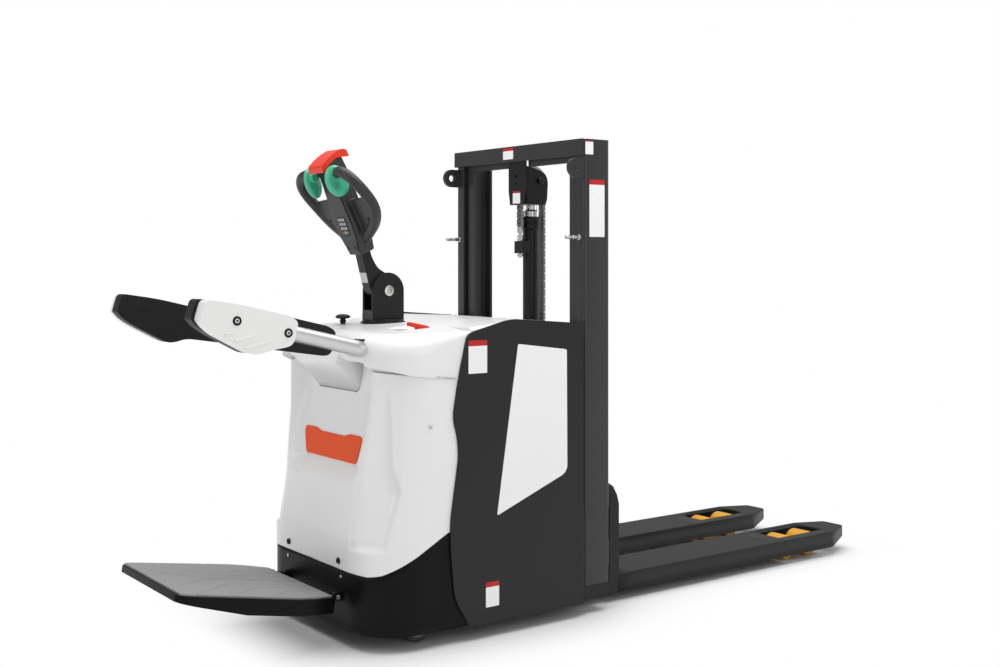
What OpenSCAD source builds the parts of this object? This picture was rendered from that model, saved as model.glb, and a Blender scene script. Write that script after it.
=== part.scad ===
// Ride-on pallet stacker: a drive cabin with a tiller and a fold-down platform, a two-stage
// mast, and forks that lower over fixed support legs.
// Every X position is measured from the front face of the fork heel; datum() then puts the
// origin on the floor under the middle of the whole machine. +X runs to the fork tips, +Y is
// the left side and +Z is up.

/* [Forks] */
// Length of each fork, from the heel to the tip
fork_l = 1150; // [900:10:1300]
// Width of each fork
fork_w = 185; // [160:1:200]
// Overall width over both forks
forks_over = 566; // [520:1:600]
// Height of the fork's top face when lowered
fork_top = 86; // [84:1:100]
// Depth of the fork's side walls
fork_depth = 56; // [50:1:60]
// Thickness of the fork's top plate
fork_plate = 8; // [6:1:10]
// Thickness of the fork's side walls
fork_wall = 6; // [5:1:8]
// Length of the tapered fork tip
tip_l = 114; // [80:1:140]
// How far each side of the tip draws in
tip_inset = 47; // [20:1:55]
// Height of the fork's upright shank
shank_h = 374; // [340:1:450]
// Depth of the shank
shank_d = 42; // [36:1:60]

/* [Support legs] */
// Side gap between a leg and the fork wall over it
leg_gap = 8; // [5:1:12]
// Ground clearance under a leg
leg_low = 31; // [26:1:34]
// Gap between a leg and the fork plate over it
leg_top_gap = 4; // [3:1:8]
// Load wheel diameter
load_wheel_d = 84; // [76:1:84]
// Load wheel width
load_wheel_w = 80; // [60:1:84]
// Distance between the two load wheels of a bogie
wheelbase_bogie = 116; // [112:1:124]
// Distance from the fork tip back to the bogie pin
bogie_back = 243; // [225:1:300]

/* [Mast] */
// Height of the lowered mast
mast_h = 1435; // [1300:5:1900]
// Overall width of the outer mast
mast_w = 678; // [660:1:690]
// Depth of the outer mast channel
mast_d = 100; // [96:1:120]
// Gap between the mast and the fork heel
mast_gap = 90; // [84:1:110]
// Thickness of the channel's web and flanges
channel_t = 10; // [8:1:12]
// How far the outer channel reaches in
channel_reach = 40; // [36:1:48]
// Side gap between the outer and the inner channels
stage_gap = 6; // [4:1:10]
// Height of the top beam
beam_h = 50; // [40:1:80]
// Thickness of the mast's cross plates
beam_t = 12; // [8:1:12]
// Outer radius of the lift cylinder
cyl_r = 27; // [25:0.5:30]
// Radius of the piston rod
rod_r = 17.5; // [14:0.5:19]
// Pitch radius of the chain wheel
chain_wheel_r = 45; // [40:1:46]
// Width of the lift chain
chain_w = 26; // [18:1:30]
// Thickness of the lift chain
chain_t = 11; // [8:1:12]
// Hole radius of the lifting lugs
lug_hole_r = 11; // [8:0.5:14]

/* [Cabin] */
// Overall width over the side panels
body_w = 706; // [690:1:740]
// Thickness of the steel side panels
panel_t = 6; // [4:1:8]
// Distance from the fork heel to the skirt's rear face
skirt_x = 923; // [900:1:1000]
// Ground clearance under the cabin
body_low = 45; // [40:1:60]
// Height of the skirt at the rear
skirt_h = 219; // [200:1:240]
// Plan radius of the cabin's rear corners
corner_r = 150; // [120:1:160]
// Wall of the moulded covers
cover_t = 4; // [3:0.5:5]
// Height of the top cover under the tiller
deck_top = 884; // [870:1:900]
// Thickness of the frame's steel plates
frame_t = 8; // [6:1:10]

/* [Drive] */
// Distance from the fork heel to the steering axis
steer_x = 690; // [680:1:720]
// Drive wheel diameter
drive_wheel_d = 230; // [220:1:240]
// Drive wheel width
drive_wheel_w = 75; // [60:1:78]
// Caster wheel diameter
caster_d = 100; // [90:1:110]
// Distance of each caster's swivel axis from the middle
caster_y = 245; // [235:1:255]
// Trail of each caster wheel
caster_trail = 34; // [28:1:38]

/* [Tiller] */
// Height of the tiller's tilt pin
tilt_z = 978; // [960:1:1000]
// Radius of the tilt pin
tilt_pin_r = 12; // [10:0.5:14]
// Width of the tiller arm
arm_w = 43; // [38:1:43]
// Thickness of the bracket's side plates
clevis_t = 8; // [6:1:10]
// Lean of the tiller head towards the operator, in degrees
head_lean = 23; // [15:1:30]
// Height of the tiller head above its neck
head_h = 312; // [300:1:345]
// Width across the two finger loops
head_w = 354; // [345:1:370]
// Thickness of the finger loops
loop_t = 36; // [30:1:40]

/* [Platform] */
// Length of the platform from its hinge
platform_l = 490; // [420:5:500]
// Greatest width of the platform
platform_w = 480; // [440:5:488]
// Angle at which the platform rests, in degrees
platform_tilt = 9.8; // [4:0.2:12]
// Height of the platform's hinge
hinge_z = 142; // [130:1:160]
// Radius of the platform's hinge pins
hinge_pin_r = 8; // [6:0.5:10]
// Thickness of the rubber mat
mat_t = 4; // [3:0.5:5]

/* [Side arms] */
// Distance of each arm tube from the middle
arm_y = 280; // [275:1:290]
// Radius of the arm tube
arm_r = 21.5; // [18:0.5:22]
// Distance from the fork heel to the arm's pivot
arm_x = 915; // [900:1:920]
// Height of the arm's pivot
arm_z = 826; // [815:1:832]
// Rise of the arm towards the rear, in degrees
arm_rise = 13.5; // [8:0.5:18]
// Distance from the pivot to the end of the pads
pad_end = 510; // [460:5:520]
// Thickness of each half of the pads
pad_t = 41; // [38:1:44]

/* [Fits] */
// Radial clearance of a running fit
run_fit = 0.05; // [0.02:0.01:0.1]
// Clearance between parts that pass each other
pass_gap = 0.5; // [0.3:0.1:1]

/* [Hidden] */
$fn = 64;

// The arms reach furthest to the rear, so they set the middle of the machine.
pad_low_end = 20;
rear_reach = arm_x + pad_end * cos(arm_rise) + pad_low_end * sin(arm_rise);
module datum() translate([(rear_reach - fork_l) / 2, 0, 0]) children();

// Forks and legs
forks_half = forks_over / 2;
fork_in = forks_half - fork_w;
fork_mid = forks_half - fork_w / 2;
leg_out = forks_half - fork_wall - leg_gap;
leg_in = fork_in + fork_wall + leg_gap;
leg_top = fork_top - fork_plate - leg_top_gap;
leg_end = fork_l - tip_l - 12;
bogie_x = fork_l - bogie_back;
bay_start = bogie_x - 107;
cheek_t = 12;
load_r = load_wheel_d / 2;
bogie_pin_r = 10;
axle_r = 8;
bogie_plate_t = 7;
bogie_plate_in = load_wheel_w / 2 + 1;
bay_half = bogie_plate_in + bogie_plate_t + 1.5;

// Mast
mast_half = mast_w / 2;
mast_rear = mast_gap + mast_d;
mast_mid = mast_gap + mast_d / 2;
foot_top = 86;
inner_out = mast_half - channel_reach - stage_gap;
inner_reach = 40;
inner_in = inner_out - inner_reach;
inner_t = 8;
inner_rear = mast_rear - channel_t - 2;
inner_front = mast_gap + channel_t + 2;
inner_top = mast_h - 10;
rail_low = foot_top + 2;
roller_r = (mast_d - 2 * channel_t) / 2 - 0.5;
small_roller_r = (inner_rear - inner_front - 2 * inner_t) / 2 - 0.5;
lift_x = mast_rear - 15 - chain_wheel_r;
cyl_top = 1208;
wheel_z = 1324;
bracket_w = 93;
anchor_z = 1110;

// Cabin
in_half = body_w / 2 - panel_t;
bulkhead_x = mast_rear + beam_t;
mid_x = 547;
drive_deck_z = 262;
hood_x = 612;
top_rear = 945;
seam_gap = pass_gap;
tie_top = 330;
screw_y = 150;

// Tiller, in the frame of the head: X towards the mast, Z up along the head
neck = [-761, 0, 1092];
clevis_half = arm_w / 2 + pass_gap + clevis_t;
lever_pin = [-38, 250];

module block(low, high) translate(low) cube(high - low);

module both_sides() {
    children();
    mirror([0, 1, 0]) children();
}

// A side profile drawn in X and Z, as a plate from y to y + t
module side_plate(points, y, t)
    translate([0, y + t, 0]) rotate([90, 0, 0]) linear_extrude(t) polygon(points);

// A rod or disc along Y, centred at x and z
module y_rod(r, x, z, y0, y1)
    translate([x, y1, z]) rotate([90, 0, 0]) cylinder(r = r, h = y1 - y0);

// A rod along X, centred at y and z
module x_rod(r, y, z, x0, x1)
    translate([x0, y, z]) rotate([0, 90, 0]) cylinder(r = r, h = x1 - x0);

module z_rod(r, x, y, z0, z1) translate([x, y, z0]) cylinder(r = r, h = z1 - z0);

// A rectangle with round corners of radius r
module rounded_rect(low, high, r) {
    translate([low[0] + r, low[1]]) square([high[0] - low[0] - 2 * r, high[1] - low[1]]);
    translate([low[0], low[1] + r]) square([high[0] - low[0], high[1] - low[1] - 2 * r]);
    for (x = [low[0] + r, high[0] - r], y = [low[1] + r, high[1] - r])
        translate([x, y]) circle(r);
}

// Plan of the cabin's rear: square at the front, round at the two rear corners
module rear_plan(front, rear, half, r) {
    translate([-front - (rear - r - front), -half]) square([rear - r - front, 2 * half]);
    translate([-rear, -half + r]) square([rear - front, 2 * (half - r)]);
    for (side = [-1, 1]) translate([-rear + r, side * (half - r)]) circle(r);
}

// ---- Cabin ----

// Welded frame: battery floor, mast foot, two bulkheads and the drive deck
module chassis_frame() color("#2b2b2d") datum() {
    block([-mid_x - frame_t, -in_half, body_low], [-mast_rear, in_half, body_low + frame_t]);
    block([-bulkhead_x - frame_t, -mast_half, body_low + 4], [-mast_gap, mast_half, foot_top]);
    block([-bulkhead_x - frame_t, -in_half, body_low], [-bulkhead_x, in_half, 820]);
    block([-mid_x - frame_t, -in_half, body_low], [-mid_x, in_half, 700]);
    difference() {
        block([-880, -in_half + 9, drive_deck_z], [-mid_x, in_half - 9, drive_deck_z + frame_t]);
        z_rod(steering_ring_r, -steer_x, 0, 200, 300);
        both_sides() z_rod(caster_stem_r + run_fit, -caster_x, caster_y, 200, 300);
        both_sides() translate([-880, in_half - 9]) rotate(45) cube([180, 180, 700], center = true);
    }
}
steering_ring_r = 125;
caster_x = 700;
caster_stem_r = 15;
panel_edge = [[-621, 45], [-672, 127], [-690, 313], [-653, 550], [-678, 629], [-659, 738]];

// Outer and inner shapes of the black skirt and of the two white covers, t inside the skin
module skirt_shape(t) intersection() {
    translate([0, 0, body_low - 1]) linear_extrude(400)
        rear_plan(600, skirt_x - t, in_half - t, corner_r - t);
    side_plate([[-skirt_x - 1, body_low - (t > 0 ? 9 : 0)], [-600, body_low - (t > 0 ? 9 : 0)],
        [-600, 313], [-690, 313], [-851, 236], [-skirt_x - 1, skirt_h]], -in_half, 2 * in_half);
}

module base_skirt() color("#1d1d1f") datum() difference() {
    skirt_shape(0);
    skirt_shape(frame_t);
    translate([0, 0, 8]) skirt_shape(frame_t);
    block([-640, -400, 0], [-590, 400, 320]);
}

module side_panel() {
    side_plate(concat(panel_edge, [[-630, 858], [-614, 868], [-477, 901], [-228, 881],
        [-mast_rear - 15, 881], [-mast_rear - 15, 41], [-610, 41]]), in_half, panel_t);
    side_plate([[-570, 70], [-560, 70], [-560, 330], [-570, 330]], in_half - 6, 6);
}
module side_panels() color("#26262a") datum() both_sides() side_panel();

// Cabin cover between the skirt and the seam, with the shallow recess behind the badge
module cover_shape(t) difference() {
    intersection() {
        linear_extrude(1000) rear_plan(600, skirt_x + 2 - t, in_half - t, corner_r - t);
        side_plate([[-skirt_x - 2, skirt_h + seam_gap], [-851, 236 + seam_gap],
            [-690, 313 + seam_gap], [-600, 313 + seam_gap], [-600, 736], [-647, 736],
            [-840, 756], [-895, 764], [-898 + t, 600], [-908 + t, 436], [-skirt_x - 2 + t, 300]],
            -in_half, 2 * in_half);
    }
    side_plate([[-960, 440 - t], [-903 + t, 440 - t], [-868 + t, 486], [-843 + t, 700],
        [-860, 722 + t], [-960, 722 + t]], -186 - t, 2 * (186 + t));
}
module front_cover() color("#f4f4f2") datum() difference() {
    cover_shape(0);
    cover_shape(cover_t);
    intersection() {
        translate([0, 0, -12]) cover_shape(cover_t);
        block([-1000, -400, 0], [0, 400, 330]);
    }
    intersection() {
        translate([0, 0, 20]) cover_shape(cover_t);
        block([-1000, -400, 730], [0, 400, 1000]);
    }
}

module badge_plate() color("#e8501e") datum() translate([-868, 0, 486]) rotate([0, 6.66, 0])
    rotate([90, 0, 90]) translate([0, 0, -3]) linear_extrude(3)
        polygon([[-152, 4], [152, 4], [171, 80], [-171, 80]]);

// Upper cover round the tiller: a shell with openings for the column, knob, handle and arms
module top_shape(t) intersection() {
    linear_extrude(1200) rear_plan(hood_x, top_rear - t, in_half - t, 120 - t);
    side_plate([[-hood_x, 736], [-647, 736], [-840, 756], [-895, 764], [-905, 785],
        [-top_rear, 788], [-top_rear, 858 - t], [-925, 868 - t], [-hood_x, deck_top - 1 - t]],
        -in_half, 2 * in_half);
    rotate([90, 0, 90]) translate([0, 0, -1000]) linear_extrude(1000)
        polygon([[-in_half, 700], [in_half, 700], [in_half, 852 - t], [230, 866 - t],
            [150, deck_top - t], [-150, deck_top - t], [-230, 866 - t], [-in_half, 852 - t]]);
}
knob = [-785, 75];
handle = [-690, -200];
module arm_pocket() both_sides() {
    y_rod(arm_r + 4, -arm_x, arm_z, arm_y - 46, arm_y + arm_r + 4);
    block([-960, arm_y - 46, 730], [-arm_x, arm_y + arm_r + 4, arm_z + 40]);
    block([-960, arm_y - 46, 730], [-arm_x + 22, arm_y + arm_r + 4, arm_z]);
}
module top_cover() color("#f6f6f4") datum() difference() {
    union() {
        difference() {
            top_shape(0);
            top_shape(cover_t);
            for (dz = [-14, -28]) translate([0, 0, dz]) top_shape(cover_t);
        }
        intersection() {
            union() {
                z_rod(66, -steer_x, 0, 860, deck_top);
                z_rod(16, knob[0], knob[1], 850, 878);
            }
            block([-900, -100, 800], [-hood_x, 100, deck_top]);
        }
    }
    z_rod(40, -steer_x, 0, 800, 900);
    z_rod(stem_r + 0.3, knob[0], knob[1], 800, 900);
    block([handle[0] - 12.4, handle[1] - 10.4, 800], [handle[0] + 12.4, handle[1] + 10.4, 900]);
    arm_pocket();
}
stem_r = 9;

// Screws of the covers and of the skirt, and the two black caps
module cover_screws() color("#9a9a9c") datum() both_sides() {
    x_rod(9, screw_y, 250, -skirt_x - 7, -skirt_x - 2);
    x_rod(5, screw_y + 9, 190, -skirt_x - 3, -skirt_x);
    y_rod(5, -748, 611, in_half, in_half + 2);
}

module battery_pack() color("#3a4a5c") datum()
    block([-mid_x + 12, -310, body_low + frame_t], [-bulkhead_x - frame_t - 12, 310, 640]);

module motor_controller() color("#6d6f72") datum()
    block([-mid_x - frame_t - 45, 170, 430], [-mid_x - frame_t, 310, 650]);

// Oil tank with its pump motor standing on it
module hydraulic_unit() color("#55585c") datum() {
    deck = drive_deck_z + frame_t;
    block([-660, -330, deck], [-mid_x - frame_t, -200, 470]);
    z_rod(55, -612, -266, 470, 640);
}

// ---- Mast ----

// Two outer channels with the top beam and the lower tie plate
module outer_mast() color("#202022") datum() {
    both_sides() difference() {
        block([-mast_rear, mast_half - channel_reach, foot_top], [-mast_gap, mast_half, mast_h]);
        block([-mast_rear + channel_t, 0, 0], [-mast_gap - channel_t, mast_half - channel_t, 2000]);
    }
    block([-bulkhead_x, -mast_half + 1, mast_h - beam_h], [-mast_rear, mast_half - 1, mast_h]);
    block([-bulkhead_x, -mast_half + 1, foot_top], [-mast_rear, mast_half - 1, tie_top]);
}

// Lifting lugs, and the two pins that carry the operator's screen
module mast_lugs() color("#2a2a2c") datum() both_sides() {
    lug_x = mast_rear + 30;
    difference() {
        union() {
            y_rod(30, -lug_x, 1347, 325, 337);
            block([-lug_x, 325, 1317], [-mast_rear, 337, 1377]);
        }
        y_rod(lug_hole_r, -lug_x, 1347, 320, 340);
    }
    x_rod(6, 318, 1138, -mast_rear - 56, -mast_rear);
    x_rod(9, 318, 1138, -mast_rear - 6, -mast_rear);
}

module lift_cylinder() color("#1b1b1d") datum() difference() {
    union() {
        z_rod(cyl_r, -lift_x, 0, foot_top, cyl_top);
        z_rod(cyl_r + 5, -lift_x, 0, cyl_top - 38, cyl_top);
        z_rod(cyl_r + 8, -lift_x, 0, foot_top, foot_top + 14);
    }
    z_rod(cyl_r - 5, -lift_x, 0, foot_top + 20, cyl_top - 30);
    z_rod(rod_r + run_fit, -lift_x, 0, foot_top + 20, cyl_top + 1);
}

// Block clamped to the cylinder, with the stud that holds the chain's fixed end
module chain_anchor() color("#2c2c2e") datum() {
    run_x = lift_x + chain_wheel_r;
    difference() {
        block([-run_x - 8, -22, anchor_z - 20], [-lift_x, 22, anchor_z + 20]);
        z_rod(cyl_r, -lift_x, 0, 1000, 1300);
    }
    z_rod(5, -run_x, 0, anchor_z + 20, anchor_z + 60);
}

// Chain runs as plain bars; the front run includes the half turn over the wheel
module rear_chain() color("#8d8f92") datum()
    block([-lift_x - chain_wheel_r - chain_t / 2, -chain_w / 2, anchor_z + 60],
        [-lift_x - chain_wheel_r + chain_t / 2, chain_w / 2, wheel_z]);

module front_chain() color("#8d8f92") datum() {
    block([-lift_x + chain_wheel_r - chain_t / 2, -chain_w / 2, chain_end_z],
        [-lift_x + chain_wheel_r + chain_t / 2, chain_w / 2, wheel_z]);
    translate([-lift_x, 0, wheel_z]) rotate([90, 0, 0]) difference() {
        cylinder(r = chain_wheel_r + chain_t / 2, h = chain_w, center = true);
        cylinder(r = chain_wheel_r - chain_t / 2, h = chain_w + 2, center = true);
        translate([-100, -200, -50]) cube([200, 200, 100]);
    }
}
chain_end_z = 232;

module inner_mast() color("#252527") datum() {
    both_sides() difference() {
        block([-inner_rear, inner_in, rail_low], [-inner_front, inner_out, inner_top]);
        block([-inner_rear + inner_t, 0, 0], [-inner_front - inner_t, inner_out - inner_t, 2000]);
    }
    both_sides() block([-inner_rear, bracket_w / 2, inner_top - 58],
        [-inner_rear + 14, inner_in, inner_top - 12]);
    block([-inner_rear, -inner_in, rail_low + 12], [-inner_rear + 10, inner_in, rail_low + 92]);
    both_sides() for (z = [130, 480]) {
        y_rod(roller_r, -mast_mid, z, inner_out + 4, mast_half - channel_t - 3);
        y_rod(12, -mast_mid, z, inner_out - 1, inner_out + 5);
    }
}

module piston_rod() color("#c9cbce") datum() {
    z_rod(rod_r, -lift_x, 0, foot_top + 24, 1246);
    z_rod(cyl_r - 5 - run_fit, -lift_x, 0, foot_top + 24, foot_top + 60);
}

// Fork-shaped bracket on the rod: a rear plate, a crown on the rod and two cheeks
module chain_bracket() color("#1f1f21") datum() {
    half = bracket_w / 2;
    difference() {
        union() {
            block([-inner_rear - 10, -half, 1246], [-inner_rear, half, inner_top - 10]);
            block([-inner_rear, -half, 1246], [-lift_x + 30, half, 1262]);
            both_sides() block([-inner_rear, half - 8, 1246], [-lift_x + 30, half, 1352]);
        }
        block([-inner_rear - 6, -chain_w / 2 - 3, 1200],
            [-inner_rear + 20, chain_w / 2 + 3, inner_top]);
        y_rod(axle_r, -lift_x, wheel_z, -100, 100);
    }
    y_rod(axle_r, -lift_x, wheel_z, -half, half);
}

module chain_wheel() color("#b5b7ba") datum() difference() {
    union() {
        y_rod(chain_wheel_r - chain_t / 2 - 0.3, -lift_x, wheel_z, -chain_w / 2, chain_w / 2);
        both_sides() y_rod(chain_wheel_r + 3, -lift_x, wheel_z, chain_w / 2 + 0.5, chain_w / 2 + 6);
        y_rod(20, -lift_x, wheel_z, -bracket_w / 2 + 9, bracket_w / 2 - 9);
    }
    y_rod(axle_r + run_fit, -lift_x, wheel_z, -100, 100);
}

// ---- Carriage, forks and legs ----

module carriage_frame() color("#232325") datum() {
    rear = shank_d + 12;
    for (z = [[120, 200], [shank_h - 74, shank_h]])
        block([-rear, -forks_half, z[0]], [-shank_d, forks_half, z[1]]);
    difference() {
        both_sides() block([-inner_rear + 14, inner_in - 14, 96], [-rear, inner_in - 4, 366]);
        block([-lift_x - 80, -60, 0], [-lift_x + 60, 60, 400]);
    }
    both_sides() for (z = [130, 330]) {
        y_rod(small_roller_r, -mast_mid, z, inner_in + 3, inner_out - inner_t - 1);
        y_rod(10, -mast_mid, z, inner_in - 5, inner_in + 4);
    }
    block([-lift_x + chain_wheel_r - 10, -24, 200], [-rear + 1, 24, chain_end_z]);
}

module fork_plan(t) polygon([[-1, fork_in + t], [fork_l - tip_l, fork_in + t],
    [fork_l - t, fork_in + tip_inset + t], [fork_l - t, forks_half - tip_inset - t],
    [fork_l - tip_l, forks_half - t], [-1, forks_half - t]]);

// One fork: a channel open below, a tapered tip and a box-shaped shank
module fork() {
    low = fork_top - fork_depth;
    difference() {
        translate([0, 0, low]) linear_extrude(fork_depth) fork_plan(0);
        block([-2, fork_in + fork_wall, 0], [leg_end + 6, forks_half - fork_wall,
            fork_top - fork_plate]);
        block([bogie_x - 117, fork_mid - bay_half, 0], [bogie_x + 113, fork_mid + bay_half, 200]);
        side_plate([[leg_end - 60, low - 1], [leg_end + 7, low + 5], [fork_l + 1, low + 20],
            [fork_l + 1, 0], [leg_end - 60, 0]], fork_in - 1, fork_w + 2);
        block([-10, 0, 0], [0, 400, 200]);
    }
    shank = [[-shank_d, low - 2], [0, low - 2], [0, shank_h - 68], [-8, shank_h - 40],
        [-24, shank_h - 12], [-shank_d, shank_h]];
    side_plate(shank, forks_half - fork_plate, fork_plate);
    side_plate(shank, fork_in, fork_plate);
    block([-10, fork_in, fork_top - fork_plate], [0, forks_half, shank_h - 68]);
}
module forks() color("#1e1e20") datum() both_sides() fork();

// Flat-bar legs under the forks, with the cheeks and pins of the wheel bays
module support_legs() color("#1c1c1e") datum() both_sides() {
    block([-mast_gap, leg_in, leg_low], [bay_start, leg_out, leg_top]);
    block([bay_start - 127, leg_in + 16, leg_low - 10], [bay_start, leg_out - 16, leg_low]);
    for (y = [leg_in, leg_out - cheek_t])
        block([bay_start - 1, y, leg_low - 3], [leg_end, y + cheek_t, leg_top]);
    y_rod(bogie_pin_r, bogie_x, load_r, leg_in + 1, leg_out - 1);
}

// Rocking bogie: two plates, the bush on its pin and the two wheel axles
module bogie() {
    half = wheelbase_bogie / 2;
    difference() {
        union() {
            for (side = [-1, 1]) {
                y = fork_mid + side * (bogie_plate_in + bogie_plate_t / 2) - bogie_plate_t / 2;
                block([bogie_x - half, y, load_r - 14], [bogie_x + half, y + bogie_plate_t,
                    load_r + 14]);
                for (x = [-half, half])
                    y_rod(14, bogie_x + x, load_r, y, y + bogie_plate_t);
            }
            y_rod(14.6, bogie_x, load_r, leg_in + cheek_t + pass_gap, leg_out - cheek_t - pass_gap);
            for (x = [-half, half])
                y_rod(axle_r, bogie_x + x, load_r, fork_mid - bogie_plate_in - 1,
                    fork_mid + bogie_plate_in + 1);
        }
        y_rod(bogie_pin_r + run_fit, bogie_x, load_r, 0, 400);
    }
}
module bogie_left() color("#2d2d2f") datum() bogie();
module bogie_right() color("#2d2d2f") datum() mirror([0, 1, 0]) bogie();

module load_wheel(x) difference() {
    y_rod(load_r, bogie_x + x, load_r, fork_mid - load_wheel_w / 2, fork_mid + load_wheel_w / 2);
    y_rod(axle_r + run_fit, bogie_x + x, load_r, 0, 400);
}
module load_wheel_left_rear() color("#f2b01e") datum() load_wheel(-wheelbase_bogie / 2);
module load_wheel_left_front() color("#f2b01e") datum() load_wheel(wheelbase_bogie / 2);
module load_wheel_right_rear() color("#f2b01e") datum() mirror([0, 1, 0])
    load_wheel(-wheelbase_bogie / 2);
module load_wheel_right_front() color("#f2b01e") datum() mirror([0, 1, 0])
    load_wheel(wheelbase_bogie / 2);

// ---- Hood over the battery ----

module battery_hood() color("#fafafa") datum() {
    low = deck_top - 6;
    half = in_half - pass_gap;
    difference() {
        side_plate([[-hood_x + pass_gap, low - 40], [-hood_x + pass_gap, low], [-477, low + 14],
            [-bulkhead_x - 5, low + 2], [-bulkhead_x - 5, low - 40]], -half, 2 * half);
        side_plate([[-hood_x + 5, low - 50], [-hood_x + 5, low - 4], [-477, low + 10],
            [-bulkhead_x - 9, low - 2], [-bulkhead_x - 9, low - 50]], -half + 4, 2 * half - 8);
        block([-452, -225, 800], [-428, -134, 900]);
    }
    both_sides() y_rod(4, -bulkhead_x - 10, deck_top - 4, 120, 200);
}

// ---- Drive unit and steering ----

module steering_ring_outer() color("#8a8c8f") datum() difference() {
    z_rod(steering_ring_r, -steer_x, 0, drive_deck_z, drive_deck_z + 20);
    z_rod(105 + run_fit, -steer_x, 0, 0, 400);
}
module steering_ring_inner() color("#9a9c9f") datum() difference() {
    z_rod(105, -steer_x, 0, drive_deck_z, drive_deck_z + 20);
    z_rod(80, -steer_x, 0, 0, 400);
}

// Reduction gear beside the wheel, its flange under the ring and the wheel axle
module drive_gearbox() color("#6f7174") datum() {
    gear_in = drive_wheel_w / 2 + 5;
    z_rod(100, -steer_x, 0, 242, drive_deck_z);
    block([-steer_x - 50, gear_in, 62], [-steer_x + 50, 108, 243]);
    y_rod(20, -steer_x, drive_wheel_d / 2, -drive_wheel_w / 2 - 4, gear_in + 1);
}
module drive_motor() color("#4b4d50") datum() {
    z_rod(98, -steer_x, 0, drive_deck_z + 20, drive_deck_z + 30);
    z_rod(75, -steer_x, 0, drive_deck_z + 30, 460);
}
module steering_column() color("#3a3c3e") datum() z_rod(25, -steer_x, 0, 460, deck_top + 1);

// Turning bracket of the tiller: flange, two side plates and the low front plate
module tiller_base() color("#202022") datum() {
    low = deck_top + 1;
    z_rod(62, -steer_x, 0, low, low + 8);
    difference() {
        union() {
            both_sides() block([-steer_x - 54, clevis_half - clevis_t, low],
                [-steer_x + 54, clevis_half, tilt_z]);
            both_sides() y_rod(54, -steer_x, tilt_z, clevis_half - clevis_t, clevis_half);
            block([-steer_x - 54, -clevis_half, low], [-steer_x - 46, clevis_half, 920]);
            block([-steer_x + 40, -clevis_half, low], [-steer_x + 48, clevis_half, 935]);
        }
        y_rod(tilt_pin_r, -steer_x, tilt_z, -100, 100);
    }
}
module tilt_pin() color("#c8c9cb") datum() {
    y_rod(tilt_pin_r, -steer_x, tilt_z, -clevis_half, clevis_half);
    both_sides() y_rod(tilt_pin_r + 4, -steer_x, tilt_z, clevis_half, clevis_half + 6);
}

module drive_wheel_hub() color("#707275") datum() difference() {
    y_rod(drive_wheel_d / 2 - 18, -steer_x, drive_wheel_d / 2, -drive_wheel_w / 2 + 3,
        drive_wheel_w / 2 - 3);
    y_rod(20 + run_fit, -steer_x, drive_wheel_d / 2, -100, 100);
}
module drive_wheel_tyre() color("#2a2a2a") datum() difference() {
    y_rod(drive_wheel_d / 2, -steer_x, drive_wheel_d / 2, -drive_wheel_w / 2, drive_wheel_w / 2);
    y_rod(drive_wheel_d / 2 - 18, -steer_x, drive_wheel_d / 2, -100, 100);
}

// ---- Tiller ----

module tiller_arm() color("#141416") datum() difference() {
    union() {
        side_plate([head_point(-33, 2), head_point(33, 2), [-714, 1055], [-680, 1004], [-668, 978],
            [-700, 952], [-738, 968], [-748, 1000]], -arm_w / 2, arm_w);
        y_rod(32, -steer_x, tilt_z, -arm_w / 2, arm_w / 2);
    }
    y_rod(tilt_pin_r + run_fit, -steer_x, tilt_z, -100, 100);
}

function head_point(x, z) = [neck[0] + x * cos(head_lean) - z * sin(head_lean),
    neck[2] + x * sin(head_lean) + z * cos(head_lean)];

module head_frame() datum() translate(neck) rotate([0, -head_lean, 0]) children();

// An outline drawn in Y and Z, as a plate from x to x + t
module face_plate(x, t) translate([x, 0, 0]) rotate([90, 0, 90]) linear_extrude(t) children();

module tiller_head() color("#222224") head_frame() {
    half = head_w / 2;
    difference() {
        union() {
            face_plate(-loop_t / 2, loop_t) difference() {
                polygon([[-55, 2], [55, 2], [64, 45], [100, 75], [half - 26, 118], [half, 165],
                    [half, 208], [half - 22, 242], [112, 262], [-112, 262], [22 - half, 242],
                    [-half, 208], [-half, 165], [26 - half, 118], [-100, 75], [-64, 45]]);
                for (side = [0, 1]) mirror([side, 0])
                    rounded_rect([62, 150], [half - 35, 230], 26);
            }
            block([-28, -56, 2], [28, 56, 272]);
            block([-24, -34, 255], [24, 34, head_h - 14]);
            block([lever_pin[0] - 12, -56, 232], [-26, 56, 268]);
        }
        y_rod(8 + run_fit, lever_pin[0], lever_pin[1], -100, 100);
    }
}

module keypad() color("#3d3d40") head_frame() block([-30, -20, 62], [-28, 20, 122]);

module thumb_levers() color("#45b384") head_frame() {
    y_rod(8, lever_pin[0], lever_pin[1], -64, 64);
    both_sides() translate([0, 100, 0]) rotate([90, 0, 0]) linear_extrude(40)
        rounded_rect([-64, 200], [-30, 274], 15);
}

module belly_switch() color("#e2371f") head_frame() difference() {
    block([-52, -40, 280], [40, 40, head_h]);
    block([-25, -35, 275], [25, 35, head_h - 7]);
}

// ---- Controls on the top cover ----

module stop_knob() color("#101012") datum() {
    z_rod(stem_r, knob[0], knob[1], 856, 898);
    z_rod(22, knob[0], knob[1], 896, 906);
}

module disconnect_handle() color("#d8202a") datum() translate([handle[0], handle[1], 0]) {
    block([-12, -10, 832], [12, 10, 886]);
    block([-36, -15, 884], [24, 15, 894]);
}

// ---- Platform ----

module platform_frame() datum() translate([-skirt_x - 11, 0, hinge_z])
    rotate([0, platform_tilt, 0]) children();

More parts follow.
